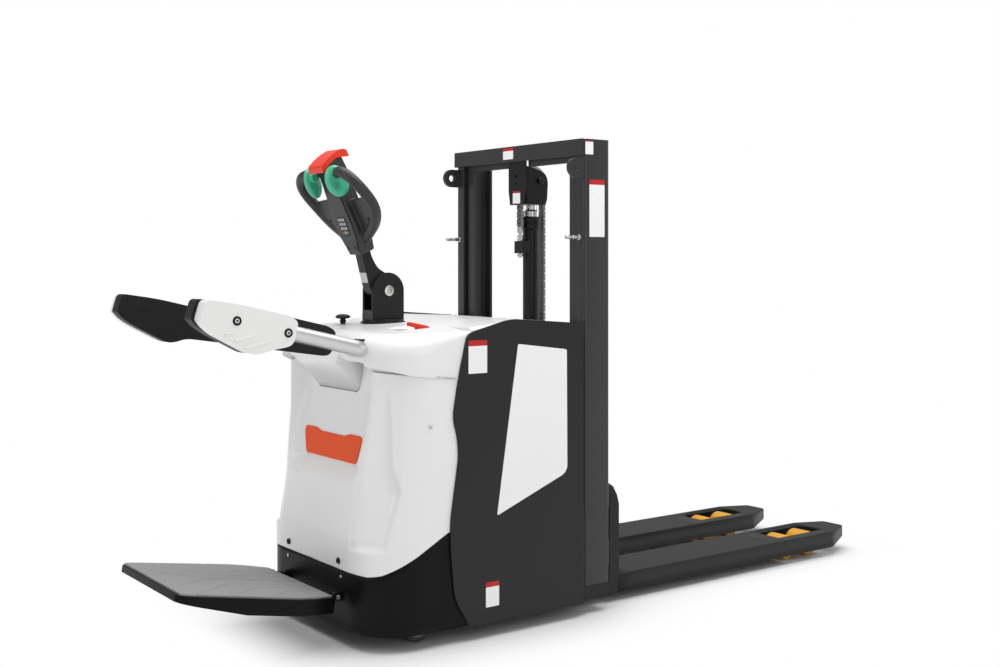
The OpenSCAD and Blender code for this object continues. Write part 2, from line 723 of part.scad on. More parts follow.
module deck_plan(t) polygon([[-26 - t, 190 - t], [-70, 200 - t], [-120, platform_w / 2 - t],
    [-160, platform_w / 2 - t], [-platform_l + 40, 222 - t], [-platform_l + t, 190 - t],
    [-platform_l + t, -190 + t], [-platform_l + 40, -222 + t], [-160, -platform_w / 2 + t],
    [-120, -platform_w / 2 + t], [-70, -200 + t], [-26 - t, -190 + t]]);

// Folded steel deck, hollow below, with the cheeks and pins of its hinge
module platform_deck() color("#1a1a1c") platform_frame() {
    difference() {
        intersection() {
            translate([0, 0, -60]) linear_extrude(60) deck_plan(0);
            side_plate([[-20, 0], [-600, 0], [-600, -16], [-platform_l, -16], [-130, -42],
                [-20, -42]], -300, 600);
        }
        translate([0, 0, -65]) linear_extrude(60) deck_plan(6);
    }
    both_sides() {
        for (y = [screw_y - 12, screw_y + 13])
            side_plate([[-32, -14], [0, -10], [10, 0], [0, 4 - mat_t], [-32, 4 - mat_t]], y - 4, 8);
        y_rod(hinge_pin_r, 0, -6, screw_y - 13, screw_y + 14);
    }
}

module platform_mat() color("#8f9194") platform_frame() linear_extrude(mat_t)
    intersection() {
        deck_plan(12);
        translate([-600, -300]) square([562, 600]);
    }

// Ears on the skirt that carry the platform's pins
module platform_brackets() color("#1d1d1f") datum() both_sides() {
    pin_x = -skirt_x - 11 - 6 * sin(platform_tilt);
    pin_z = hinge_z - 6 * cos(platform_tilt);
    difference() {
        union() {
            block([pin_x, screw_y - 7, pin_z - 12], [-skirt_x, screw_y + 8, pin_z + 12]);
            y_rod(12, pin_x, pin_z, screw_y - 7, screw_y + 8);
        }
        y_rod(hinge_pin_r + run_fit, pin_x, pin_z, 0, 300);
    }
}

// ---- Side arms ----

module arm_frame() datum() translate([-arm_x, 0, arm_z]) rotate([0, arm_rise, 0]) children();

bend_r = 40;
socket_in = arm_y - 86;
pad_front = 235;
backing_front = 100;

// Tube with its quarter bend into the pivot stub
module arm_tube() arm_frame() {
    x_rod(arm_r, arm_y, 0, -pad_end + 16, -bend_r);
    translate([-bend_r, arm_y - bend_r, 0]) rotate_extrude(angle = 90)
        translate([bend_r, 0]) circle(arm_r);
    y_rod(arm_r, 0, 0, socket_in + 2, arm_y - bend_r);
}

// Outline of the pads in the arm's own frame, with the swell below the tube
function pad_outline(front) = [[-pad_end + 3, 32], [-404, 40], [-front - 25, 40],
    [-front, 30], [-front, -28], [-front - 16, -39], [-290, -54], [-323, -72], [-345, -76],
    [-378, -68], [-466, -45], [-pad_end + 14, -31], [-pad_end, -pad_low_end]];

module arm_pad() arm_frame() difference() {
    side_plate(pad_outline(pad_front), arm_y, pad_t);
    x_rod(arm_r + 0.3, arm_y, 0, -pad_end + 15, 0);
}
module arm_backing() arm_frame() difference() {
    side_plate(pad_outline(backing_front), arm_y - pad_t, pad_t);
    x_rod(arm_r + 0.3, arm_y, 0, -pad_end + 15, 0);
}

module arm_tube_left() color("#d4d6d8") arm_tube();
module arm_pad_left() color("#f2f2f0") arm_pad();
module arm_backing_left() color("#18181a") arm_backing();
module arm_tube_right() color("#d4d6d8") mirror([0, 1, 0]) arm_tube();
module arm_pad_right() color("#f2f2f0") mirror([0, 1, 0]) arm_pad();
module arm_backing_right() color("#18181a") mirror([0, 1, 0]) arm_backing();

// Bored blocks under the top cover that hold the arm stubs
module arm_sockets() color("#2a2a2c") datum() both_sides() difference() {
    block([-top_rear + cover_t + seam_gap, socket_in, arm_z - 30],
        [-arm_x + 60, arm_y - 47, arm_z + 26]);
    y_rod(arm_r + run_fit, -arm_x, arm_z, socket_in - 1, arm_y);
}

// ---- Casters ----

module caster_yoke() {
    wheel_r = caster_d / 2;
    x = -caster_x;
    z_rod(caster_stem_r, x, caster_y, wheel_r + 70, drive_deck_z + frame_t);
    z_rod(26, x, caster_y, wheel_r + 64, drive_deck_z - 1);
    block([x - caster_trail - 20, caster_y - 30, wheel_r + 56], [x + 28, caster_y + 30,
        wheel_r + 64]);
    for (y = [-30, 25])
        block([x - caster_trail - 14, caster_y + y, wheel_r - 14], [x - caster_trail + 34,
            caster_y + y + 5, wheel_r + 60]);
    y_rod(axle_r, x - caster_trail, wheel_r, caster_y - 29, caster_y + 29);
}
module caster_wheel() difference() {
    y_rod(caster_d / 2, -caster_x - caster_trail, caster_d / 2, caster_y - 22, caster_y + 22);
    y_rod(axle_r + run_fit, -caster_x - caster_trail, caster_d / 2, 0, 400);
}
module caster_yoke_left() color("#5b5d60") datum() caster_yoke();
module caster_yoke_right() color("#5b5d60") datum() mirror([0, 1, 0]) caster_yoke();
module caster_wheel_left() color("#333335") datum() caster_wheel();
module caster_wheel_right() color("#333335") datum() mirror([0, 1, 0]) caster_wheel();

chassis_frame();
base_skirt();
side_panels();
front_cover();
top_cover();
badge_plate();
cover_screws();
battery_pack();
motor_controller();
hydraulic_unit();
outer_mast();
mast_lugs();
lift_cylinder();
chain_anchor();
rear_chain();
support_legs();
platform_brackets();
arm_sockets();
steering_ring_outer();
battery_hood();
steering_ring_inner();
drive_gearbox();
drive_motor();
steering_column();
tiller_base();
tilt_pin();
drive_wheel_hub();
drive_wheel_tyre();
tiller_arm();
tiller_head();
keypad();
thumb_levers();
belly_switch();
stop_knob();
disconnect_handle();
platform_deck();
platform_mat();
arm_tube_left();
arm_pad_left();
arm_backing_left();
arm_tube_right();
arm_pad_right();
arm_backing_right();
inner_mast();
piston_rod();
chain_bracket();
chain_wheel();
front_chain();
carriage_frame();
forks();
caster_yoke_left();
caster_yoke_right();
caster_wheel_left();
caster_wheel_right();
bogie_left();
bogie_right();
load_wheel_left_rear();
load_wheel_left_front();
load_wheel_right_rear();
load_wheel_right_front();
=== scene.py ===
# The looks of a ride-on pallet stacker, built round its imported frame. Sizes are in millimetres
# measured from the front face of the fork heel, +X towards the fork tips and +Y to the left;
# place() turns them into metres in the frame.
import bpy
import bmesh
import math
from mathutils import Matrix, Vector


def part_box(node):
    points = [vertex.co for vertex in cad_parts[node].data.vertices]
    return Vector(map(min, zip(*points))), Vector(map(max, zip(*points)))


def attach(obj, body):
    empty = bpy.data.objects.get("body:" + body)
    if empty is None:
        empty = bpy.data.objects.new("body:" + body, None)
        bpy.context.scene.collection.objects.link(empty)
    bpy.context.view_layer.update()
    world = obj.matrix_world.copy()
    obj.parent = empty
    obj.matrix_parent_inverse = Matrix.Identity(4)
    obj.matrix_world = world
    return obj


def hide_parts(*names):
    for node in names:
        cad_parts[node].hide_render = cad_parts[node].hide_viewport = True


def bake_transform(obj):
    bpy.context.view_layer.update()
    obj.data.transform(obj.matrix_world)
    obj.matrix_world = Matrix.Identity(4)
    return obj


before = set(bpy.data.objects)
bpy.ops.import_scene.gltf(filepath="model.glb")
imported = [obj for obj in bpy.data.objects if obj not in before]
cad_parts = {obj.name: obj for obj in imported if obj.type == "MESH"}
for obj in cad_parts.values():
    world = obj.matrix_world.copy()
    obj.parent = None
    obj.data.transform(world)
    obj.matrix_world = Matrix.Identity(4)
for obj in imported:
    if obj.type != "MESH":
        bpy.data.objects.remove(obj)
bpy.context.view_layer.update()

FORK_LENGTH = 1150
heel = Vector((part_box("forks")[1].x - FORK_LENGTH / 1000, 0, 0))

# ---- Camera, floor and light ----
# A product studio: a white sweep under a soft overhead bank, with a broad key light from the
# operator's side and weaker fill lights at the mast and behind the forks.
scene = bpy.context.scene
scene.view_settings.view_transform = "Standard"


def place(x, y, z):
    """A point in millimetres from the fork heel, as metres in the frame."""
    return heel + Vector((x, y, z)) / 1000


camera = bpy.data.objects.new("camera", bpy.data.cameras.new("camera"))
scene.collection.objects.link(camera)
scene.camera = camera
camera.data.sensor_width = 36
camera.data.lens = 45.4
camera.data.shift_y = -0.0757
camera.data.clip_end = 60
camera.location = place(-2648.1, -3240.8, 1075.7)
camera.rotation_euler = (math.radians(90), 0, math.radians(53.57 - 90))


SHADOW_REAR = place(-900, 0, 0).x
SHADOW_FRONT = place(1130, 0, 0).x
SHADOW_SIDE = 0.33
SHADOW_FADE = 0.32
CORNER_BLEND = 0.1


def studio_surface(name, colour, roughness):
    """A matt painted surface with a faint unevenness in its sheen, which turns into a plain
    glow of light away from the machine, so that only its contact shadow is left."""
    material = bpy.data.materials.new(name)
    material.use_nodes = True
    nodes, links = material.node_tree.nodes, material.node_tree.links
    shader = nodes["Principled BSDF"]
    shader.inputs["Base Color"].default_value = (*colour, 1)
    where = nodes.new("ShaderNodeTexCoord")
    mottle = nodes.new("ShaderNodeTexNoise")
    mottle.inputs["Scale"].default_value = 3
    spread = nodes.new("ShaderNodeMapRange")
    spread.inputs["To Min"].default_value = roughness - 0.04
    spread.inputs["To Max"].default_value = roughness + 0.04
    links.new(where.outputs["Object"], mottle.inputs["Vector"])
    links.new(mottle.outputs["Fac"], spread.inputs["Value"])
    links.new(spread.outputs["Result"], shader.inputs["Roughness"])
    axes = nodes.new("ShaderNodeSeparateXYZ")
    links.new(where.outputs["Object"], axes.inputs[0])
    beyond = []
    for axis, (middle, half) in zip("XY", (((SHADOW_REAR + SHADOW_FRONT) / 2,
                                            (SHADOW_FRONT - SHADOW_REAR) / 2), (0, SHADOW_SIDE))):
        off, size, past = (nodes.new("ShaderNodeMath") for _ in range(3))
        off.operation, size.operation, past.operation = "SUBTRACT", "ABSOLUTE", "SUBTRACT"
        off.inputs[1].default_value = middle
        past.inputs[1].default_value = half
        links.new(axes.outputs[axis], off.inputs[0])
        links.new(off.outputs["Value"], size.inputs[0])
        links.new(size.outputs["Value"], past.inputs[0])
        beyond.append(past)
    away = nodes.new("ShaderNodeMath")
    away.operation = "SMOOTH_MAX"
    away.inputs[2].default_value = CORNER_BLEND
    links.new(beyond[0].outputs["Value"], away.inputs[0])
    links.new(beyond[1].outputs["Value"], away.inputs[1])
    fade = nodes.new("ShaderNodeMapRange")
    fade.interpolation_type = "SMOOTHSTEP"
    fade.inputs["From Min"].default_value = -0.02
    fade.inputs["From Max"].default_value = SHADOW_FADE
    glow = nodes.new("ShaderNodeEmission")
    sweep = nodes.new("ShaderNodeMixShader")
    links.new(away.outputs["Value"], fade.inputs["Value"])
    links.new(fade.outputs["Result"], sweep.inputs["Fac"])
    links.new(shader.outputs["BSDF"], sweep.inputs[1])
    links.new(glow.outputs["Emission"], sweep.inputs[2])
    links.new(sweep.outputs["Shader"], nodes["Material Output"].inputs["Surface"])
    return material


floor_mesh = bmesh.new()
bmesh.ops.create_grid(floor_mesh, x_segments=1, y_segments=1, size=30)
floor_data = bpy.data.meshes.new("studio_floor")
floor_mesh.to_mesh(floor_data)
floor_mesh.free()
floor = bpy.data.objects.new("studio_floor", floor_data)
scene.collection.objects.link(floor)
floor_data.materials.append(studio_surface("studio_white", (0.93, 0.93, 0.93), 0.7))

world = bpy.data.worlds.new("studio_air")
scene.world = world
world.use_nodes = True
air, air_links = world.node_tree.nodes, world.node_tree.links
air["Background"].inputs["Color"].default_value = (1, 1, 1, 1)
air["Background"].inputs["Strength"].default_value = 0.42
backdrop = air.new("ShaderNodeBackground")
backdrop.inputs["Color"].default_value = (1, 1, 1, 1)
seen = air.new("ShaderNodeLightPath")
either = air.new("ShaderNodeMixShader")
air_links.new(seen.outputs["Is Camera Ray"], either.inputs["Fac"])
air_links.new(air["Background"].outputs[0], either.inputs[1])
air_links.new(backdrop.outputs[0], either.inputs[2])
air_links.new(either.outputs[0], air["World Output"].inputs["Surface"])


def softbox(name, position, aim, size, power):
    """A square area light at a place in the studio, turned to face a point."""
    data = bpy.data.lights.new(name, "AREA")
    data.shape = "SQUARE"
    data.size = size
    data.energy = power
    lamp = bpy.data.objects.new(name, data)
    scene.collection.objects.link(lamp)
    lamp.location = place(*position)
    lamp.rotation_euler = (place(*aim) - lamp.location).to_track_quat("-Z", "Y").to_euler()


softbox("overhead_bank", (-200, -200, 3400), (-200, 0, 0), 3.2, 105)
softbox("operator_key", (-3600, 300, 1900), (-700, 0, 600), 1.4, 16)
softbox("side_fill", (-400, -3800, 1600), (-300, 0, 600), 2.0, 17)
softbox("fork_fill", (3200, -1200, 1600), (300, 0, 300), 1.6, 14)

# ---- Welded frame, battery and hydraulics ----
# The hidden heart of the truck: a plate frame that carries the lead-acid battery case, the
# motor controller and the pump on its oil tank. All are painted or moulded and stay as built.


def group_socket(group, name, direction, kind, value=None):
    """Adds one named socket to a shader group."""
    socket = group.interface.new_socket(name=name, in_out=direction, socket_type=kind)
    if value is not None:
        socket.default_value = value


def make_grain_group():
    """Fine moulded or sprayed grain: two sizes of speckle, put out as a height from 0 to 1."""
    group = bpy.data.node_groups.new("fine_grain", "ShaderNodeTree")
    group_socket(group, "Scale", "INPUT", "NodeSocketFloat", 900)
    group_socket(group, "Coarse share", "INPUT", "NodeSocketFloat", 0.35)
    group_socket(group, "Height", "OUTPUT", "NodeSocketFloat")
    nodes, links = group.nodes, group.links
    given, out = nodes.new("NodeGroupInput"), nodes.new("NodeGroupOutput")
    where = nodes.new("ShaderNodeTexCoord")
    fine = nodes.new("ShaderNodeTexNoise")
    fine.inputs["Detail"].default_value = 3
    coarse = nodes.new("ShaderNodeTexVoronoi")
    coarse.feature = "SMOOTH_F1"
    slower = nodes.new("ShaderNodeMath")
    slower.operation = "MULTIPLY"
    slower.inputs[1].default_value = 0.4
    mix = nodes.new("ShaderNodeMix")
    links.new(where.outputs["Object"], fine.inputs["Vector"])
    links.new(where.outputs["Object"], coarse.inputs["Vector"])
    links.new(given.outputs["Scale"], fine.inputs["Scale"])
    links.new(given.outputs["Scale"], slower.inputs[0])
    links.new(slower.outputs["Value"], coarse.inputs["Scale"])
    links.new(given.outputs["Coarse share"], mix.inputs["Factor"])
    links.new(fine.outputs["Fac"], mix.inputs["A"])
    links.new(coarse.outputs["Distance"], mix.inputs["B"])
    links.new(mix.outputs["Result"], out.inputs["Height"])
    return group


def make_handling_group():
    """Light dust and hand marks on a new machine: shifts a colour and a roughness in soft patches,
    and gathers a little dust on upward faces."""
    group = bpy.data.node_groups.new("handling_marks", "ShaderNodeTree")
    group_socket(group, "Color", "INPUT", "NodeSocketColor", (0.8, 0.8, 0.8, 1))
    group_socket(group, "Dust", "INPUT", "NodeSocketColor", (0.5, 0.47, 0.43, 1))
    group_socket(group, "Dust amount", "INPUT", "NodeSocketFloat", 0.1)
    group_socket(group, "Roughness", "INPUT", "NodeSocketFloat", 0.5)
    group_socket(group, "Roughness spread", "INPUT", "NodeSocketFloat", 0.12)
    group_socket(group, "Color", "OUTPUT", "NodeSocketColor")
    group_socket(group, "Roughness", "OUTPUT", "NodeSocketFloat")
    nodes, links = group.nodes, group.links
    given, out = nodes.new("NodeGroupInput"), nodes.new("NodeGroupOutput")
    where = nodes.new("ShaderNodeTexCoord")
    smear = nodes.new("ShaderNodeTexNoise")
    smear.inputs["Scale"].default_value = 7
    smear.inputs["Detail"].default_value = 6
    smear.inputs["Roughness"].default_value = 0.62
    centred = nodes.new("ShaderNodeMath")
    centred.operation = "SUBTRACT"
    centred.inputs[1].default_value = 0.5
    swing = nodes.new("ShaderNodeMath")
    swing.operation = "MULTIPLY"
    gloss = nodes.new("ShaderNodeMath")
    gloss.use_clamp = True
    upward = nodes.new("ShaderNodeSeparateXYZ")
    surface = nodes.new("ShaderNodeNewGeometry")
    settle = nodes.new("ShaderNodeMapRange")
    settle.inputs["From Min"].default_value = 0.2
    settle.inputs["To Min"].default_value = 0.25
    patches = nodes.new("ShaderNodeMath")
    patches.operation = "MULTIPLY"
    amount = nodes.new("ShaderNodeMath")
    amount.operation = "MULTIPLY"
    amount.use_clamp = True
    tint = nodes.new("ShaderNodeMix")
    tint.data_type = "RGBA"
    links.new(where.outputs["Object"], smear.inputs["Vector"])
    links.new(smear.outputs["Fac"], centred.inputs[0])
    links.new(centred.outputs["Value"], swing.inputs[0])
    links.new(given.outputs["Roughness spread"], swing.inputs[1])
    links.new(swing.outputs["Value"], gloss.inputs[0])
    links.new(given.outputs["Roughness"], gloss.inputs[1])
    links.new(surface.outputs["Normal"], upward.inputs[0])
    links.new(upward.outputs["Z"], settle.inputs["Value"])
    links.new(settle.outputs["Result"], patches.inputs[0])
    links.new(smear.outputs["Fac"], patches.inputs[1])
    links.new(patches.outputs["Value"], amount.inputs[0])
    links.new(given.outputs["Dust amount"], amount.inputs[1])
    links.new(amount.outputs["Value"], tint.inputs["Factor"])
    links.new(given.outputs["Color"], tint.inputs["A"])
    links.new(given.outputs["Dust"], tint.inputs["B"])
    links.new(tint.outputs["Result"], out.inputs["Color"])
    links.new(gloss.outputs["Value"], out.inputs["Roughness"])
    return group


fine_grain = make_grain_group()
handling_marks = make_handling_group()


def finish(name, colour, roughness, grain=900, depth=0.00006, metallic=0.0, dust=0.08,
           spread=0.12, coat=0.0, coarse=0.35, shine=0.5):
    """A painted, moulded or metal finish: a base colour with handling marks, and a fine grain
    of the given scale and depth in metres."""
    material = bpy.data.materials.new(name)
    material.use_nodes = True
    nodes, links = material.node_tree.nodes, material.node_tree.links
    shader = nodes["Principled BSDF"]
    shader.inputs["Metallic"].default_value = metallic
    shader.inputs["Coat Weight"].default_value = coat
    shader.inputs["Coat Roughness"].default_value = 0.12
    shader.inputs["Specular IOR Level"].default_value = shine
    marks = nodes.new("ShaderNodeGroup")
    marks.node_tree = handling_marks
    marks.inputs["Color"].default_value = (*colour, 1)
    marks.inputs["Roughness"].default_value = roughness
    marks.inputs["Roughness spread"].default_value = spread
    marks.inputs["Dust amount"].default_value = dust
    grains = nodes.new("ShaderNodeGroup")
    grains.node_tree = fine_grain
    grains.inputs["Scale"].default_value = grain
    grains.inputs["Coarse share"].default_value = coarse
    bump = nodes.new("ShaderNodeBump")
    bump.inputs["Distance"].default_value = depth
    links.new(marks.outputs["Color"], shader.inputs["Base Color"])
    links.new(marks.outputs["Roughness"], shader.inputs["Roughness"])
    links.new(grains.outputs["Height"], bump.inputs["Height"])
    links.new(bump.outputs["Normal"], shader.inputs["Normal"])
    return material


def paint_nodes(material, *names):
    """Gives CAD nodes that stay in view their finish."""
    for name in names:
        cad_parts[name].data.materials.clear()
        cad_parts[name].data.materials.append(material)


black_steel = finish("black_powder_coat", (0.006, 0.006, 0.0065), 0.42, 1100, 0.00005, dust=0.02,
                     shine=0.3)
battery_case = finish("battery_polypropylene", (0.03, 0.045, 0.07), 0.5, 700)
controller_case = finish("controller_casting", (0.32, 0.32, 0.33), 0.45, 900, metallic=0.6)
dark_paint = finish("dark_machine_enamel", (0.05, 0.052, 0.055), 0.4, 600)
bearing_steel = finish("bearing_steel", (0.42, 0.42, 0.43), 0.3, 500, metallic=1.0)
gear_casting = finish("gear_casting", (0.16, 0.165, 0.17), 0.55, 350, 0.0002, metallic=0.5)
paint_nodes(black_steel, "chassis_frame", "arm_sockets")
paint_nodes(battery_case, "battery_pack")
paint_nodes(controller_case, "motor_controller")
paint_nodes(dark_paint, "hydraulic_unit", "drive_motor", "steering_column")
paint_nodes(bearing_steel, "steering_ring_outer", "steering_ring_inner")
paint_nodes(gear_casting, "drive_gearbox")

# ---- Black steel skirt ----
# The pressed 8 mm skirt that runs round the rear of the truck from panel to panel, 45 mm above
# the floor. Its top edge sweeps up at both sides to meet the cover; it is powder coated black.
TO_FRAME = Matrix.Translation(heel) @ Matrix.Scale(0.001, 4)
SKIRT_REAR = -923
CABIN_HALF = 347
CORNER_RADIUS = 150
SKIRT_LOW = 45


def make_piece(name, mesh, body, material, replaced=(), edge=0.0, angle=32, steps=2):
    """Turns a finished bmesh, drawn in millimetres, into a piece of the frame: gives it its
    finish and its body, and rounds its edges by `edge` millimetres."""
    mesh.transform(TO_FRAME)
    data = bpy.data.meshes.new(name)
    mesh.to_mesh(data)
    mesh.free()
    for each in material if isinstance(material, list) else [material]:
        data.materials.append(each)
    data.shade_smooth()
    piece = bpy.data.objects.new(name, data)
    scene.collection.objects.link(piece)
    if edge:
        rounding = piece.modifiers.new("rounded_edges", "BEVEL")
        rounding.width = edge / 1000
        rounding.segments = steps
        rounding.limit_method = "ANGLE"
        rounding.angle_limit = math.radians(angle)
        rounding.harden_normals = True
    else:
        data.set_sharp_from_angle(angle=math.radians(angle))
    if body:
        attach(piece, body)
    if replaced:
        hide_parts(*replaced)
    return piece


def add_wall(piece, thickness, offset=-1):
    """Gives a pressed or moulded sheet its wall, in millimetres, on the inner side."""
    wall = piece.modifiers.new("wall", "SOLIDIFY")
    wall.thickness = thickness / 1000
    wall.offset = offset


def along(value, *stops):
    """A value read off a line of (position, value) stops."""
    if value <= stops[0][0]:
        return stops[0][1]
    for (x0, y0), (x1, y1) in zip(stops, stops[1:]):
        if value <= x1:
            return y0 + (y1 - y0) * (value - x0) / (x1 - x0)
    return stops[-1][1]


def ease(value, low, high):
    """A smooth step from 0 at low to 1 at high."""
    t = min(1, max(0, (value - low) / (high - low)))
    return t * t * (3 - 2 * t)


def rear_plan(way, rear, radius, half=CABIN_HALF):
    """The point and the outward direction on the cabin's plan, `way` millimetres round from the
    middle of the rear face: straight, then a quarter circle, then the straight side."""
    side = -1 if way < 0 else 1
    way = abs(way)
    flat = half - radius
    turn = (way - flat) / radius
    if turn <= 0:
        return Vector((rear, side * way, 0)), Vector((-1, 0, 0))
    if turn >= math.pi / 2:
        run = way - flat - radius * math.pi / 2
        return Vector((rear + radius + run, side * half, 0)), Vector((0, side, 0))
    out = Vector((-math.cos(turn), side * math.sin(turn), 0))
    return Vector((rear + radius, side * flat, 0)) + out * radius, out


def wrapped_sheet(reach, columns, rows, surface):
    """A grid wrapped round the rear of the cabin: surface(way, share) gives the point `way`
    round from the middle at that share of its height."""
    sheet = bmesh.new()
    bmesh.ops.create_grid(sheet, x_segments=columns, y_segments=rows, size=1)
    for vertex in sheet.verts:
        vertex.co = surface(vertex.co.x * reach, (vertex.co.y + 1) / 2)
    bmesh.ops.recalc_face_normals(sheet, faces=sheet.faces)
    middle = min(sheet.faces, key=lambda face: abs(face.calc_center_median().y))
    if middle.normal.x > 0:
        bmesh.ops.reverse_faces(sheet, faces=sheet.faces)
    return sheet


def skirt_top(x):
    return along(x, (-923, 209), (-905, 206), (-880, 212), (-851, 227), (-690, 313), (-600, 313))


def skirt_surface(way, share):
    point, out = rear_plan(way, SKIRT_REAR, CORNER_RADIUS)
    tuck = 7 * (1 - ease(share, 0, 0.12)) ** 2
    return point - out * tuck + Vector((0, 0, SKIRT_LOW + (skirt_top(point.x) - SKIRT_LOW) * share))


skirt_reach = CABIN_HALF - CORNER_RADIUS + CORNER_RADIUS * math.pi / 2 + 165
skirt = make_piece("skirt", wrapped_sheet(skirt_reach, 150, 14, skirt_surface), "chassis",
                   finish("skirt_powder_coat", (0.003, 0.003, 0.003), 0.4, 1300,
                                         0.00004, dust=0.01, shine=0.12), ["base_skirt"])
add_wall(skirt, 8)

# ---- Side panels ----
# One folded 6 mm steel plate on each side, from the mast back to the covers, with a rounded
# outline, a slot for the seam cover and a set-in flat label field. Powder coated black.
PANEL_IN, PANEL_OUT = 347, 353


def flat_outline(points, y=0.0):
    """A flat face through (x, z) points. A third number rounds that corner back by so much."""
    flat = bmesh.new()
    corners = [flat.verts.new((p[0], y, p[1])) for p in points]
    flat.faces.new(corners)
    for corner, p in zip(corners, points):
        if len(p) > 2:
            bmesh.ops.bevel(flat, geom=[corner], affect="VERTICES", offset=p[2], segments=6,
                            profile=0.5, material=-1)
    return flat


def thicken(flat, reach):
    """Pushes a flat face out along `reach` into a closed solid."""
    grown = bmesh.ops.extrude_face_region(flat, geom=flat.faces[:])
    moved = [part for part in grown["geom"] if isinstance(part, bmesh.types.BMVert)]
    bmesh.ops.translate(flat, verts=moved, vec=reach)
    bmesh.ops.recalc_face_normals(flat, faces=flat.faces)
    return flat


def side_plate(points, y0, y1):
    return thicken(flat_outline(points, y0), (0, y1 - y0, 0))


def with_mirror(mesh):
    """Adds the right-hand copy of a left-hand shape."""
    half = mesh.copy()
    bmesh.ops.scale(half, verts=half.verts, vec=(1, -1, 1))
    bmesh.ops.reverse_faces(half, faces=half.faces)
    return joined(mesh, half)


def joined(*meshes):
    """Several shapes as one mesh; the first one keeps the others."""
    for other in meshes[1:]:
        carrier = bpy.data.meshes.new("carrier")
        other.to_mesh(carrier)
        other.free()
        meshes[0].from_mesh(carrier)
        bpy.data.meshes.remove(carrier)
    return meshes[0]


def block(low, high):
    """A rectangular block between two corners."""
    low, high = Vector(low), Vector(high)
    solid = bmesh.new()
    bmesh.ops.create_cube(solid, size=1, matrix=Matrix.Translation((low + high) / 2)
                          @ Matrix.Diagonal((*(high - low), 1)))
    return solid


panel_outline = [(-621, 45, 8), (-672, 127, 30), (-690, 313, 60), (-653, 550, 50), (-678, 629, 24),
                 (-659, 738, 40), (-630, 858, 10), (-612, 868, 8), (-477, 901, 30),
                 (-228, 882, 20), (-205, 881, 3), (-205, 41, 3), (-606, 41, 8)]
panels = with_mirror(side_plate(panel_outline, PANEL_IN, PANEL_OUT))
make_piece("side_panels", panels, "chassis",
           finish("panel_powder_coat", (0.009, 0.009, 0.0095), 0.36, 1300, 0.00004, dust=0.02,
                  shine=0.3),
           ["side_panels"], edge=1.6, steps=3)


def film(name, colour, gloss=0.35):
    """Printed adhesive film: a smooth satin sheet with faint ripples where it was laid down."""
    return finish(name, colour, gloss, 60, 0.00005, dust=0.02, spread=0.06, shine=0.3)


white_film = film("white_film", (0.86, 0.86, 0.86))
red_film = film("red_film", (0.50, 0.012, 0.012))
DECAL = [(-452, 828, 5), (-271, 805, 6), (-269, 450, 12), (-284, 436, 10), (-527, 343, 7)]
decals = with_mirror(side_plate(DECAL, PANEL_OUT, PANEL_OUT + 0.5))
make_piece("side_decals", decals, "chassis", white_film)

# ---- Stickers ----
# Small plain labels on the panels and the mast: a white film with a coloured band, no wording.
def sticker(name, low, high, band, y=PANEL_OUT):
    """A label on the near side between two (x, z) corners with a red band of a given height."""
    white = side_plate([(low[0], low[1], 2), (high[0], low[1], 2), (high[0], high[1] - band),
                        (low[0], high[1] - band)], -y, -y - 0.4)
    red = side_plate([(low[0], high[1] - band), (high[0], high[1] - band),
                      (high[0], high[1], 2), (low[0], high[1], 2)], -y, -y - 0.4)
    for piece_name, shape, material in ((name, white, white_film), (name + "_band", red, red_film)):
        make_piece(piece_name, shape, "chassis", material)


sticker("hood_label", (-626, 751), (-562, 844), 16)
sticker("skirt_label", (-566, 88), (-520, 158), 14)

# ---- Front cover ----
# The white moulded cover over the drive: two fluted pillars with rounded feet either side of a
# set-back panel that carries the badge. It is 4 mm thick, glossy, and held by two capped bolts.
white_plastic = finish("white_cover_plastic", (0.80, 0.80, 0.80), 0.34, 1500, 0.00002, dust=0.02,
                       spread=0.06, coat=0.25)
COVER_FOOT = 274
COVER_REACH = 575


def cover_rear(z):
    return along(z, (300, -925), (436, -908), (600, -902), (764, -902))


def cover_radius(z):
    return along(z, (300, CORNER_RADIUS), (640, 200))


def cover_low(x):
    return skirt_top(x) + 1.5


def cover_high(way):
    """Height of the cover's top edge: low behind the panel, then up over the pillars and down
    along the side."""
    return along(abs(way), (108, 694), (124, 702), (134, 735), (141, 785), (150, 792), (186, 776),
                 (236, 774), (246, 763), (330, 756), (509, 738), (575, 733))


def panel_depth(way, z, rear):
    """How far the middle panel is set back: nothing under the crease, then a floor that slopes
    up to the badge, between side walls that fan out upwards."""
    floor = along(z, (446, 0), (486, -868 - rear), (700, -843 - rear), (800, -838 - rear))
    foot = along(z, (440, 140), (490, 150), (590, 172), (680, 188), (780, 196))
    brow = along(z, (361, 213), (508, 228), (645, 246), (720, 256))
    return floor * (1 - ease(abs(way), foot, brow))


def pillar_depth(way, z):
    """The flute down each rear corner: a soft ridge, a scoop, then a crisp outer edge."""
    ridge = along(z, (COVER_FOOT, 228), (361, 215), (508, 230), (645, 250), (720, 260))
    edge = along(z, (COVER_FOOT, 330), (360, 344), (425, 354), (445, 352), (508, 322), (585, 313),
                 (696, 304), (720, 302))
    share = (abs(way) - ridge) / (edge - ridge)
    if share <= 0 or share >= 1:
        return 0
    scoop = ease(share, 0.05, 0.8) * (1 - ease(share, 0.86, 1.0))
    deep = along(z, (COVER_FOOT, 0), (290, 5), (380, 9), (440, 17), (500, 19), (600, 15),
                 (690, 7), (725, 0))
    chamfer = math.sin(math.pi * share) * along(z, (COVER_FOOT, 0), (288, 6), (440, 6), (700, 2),
                                                (730, 0))
    return scoop * deep + chamfer


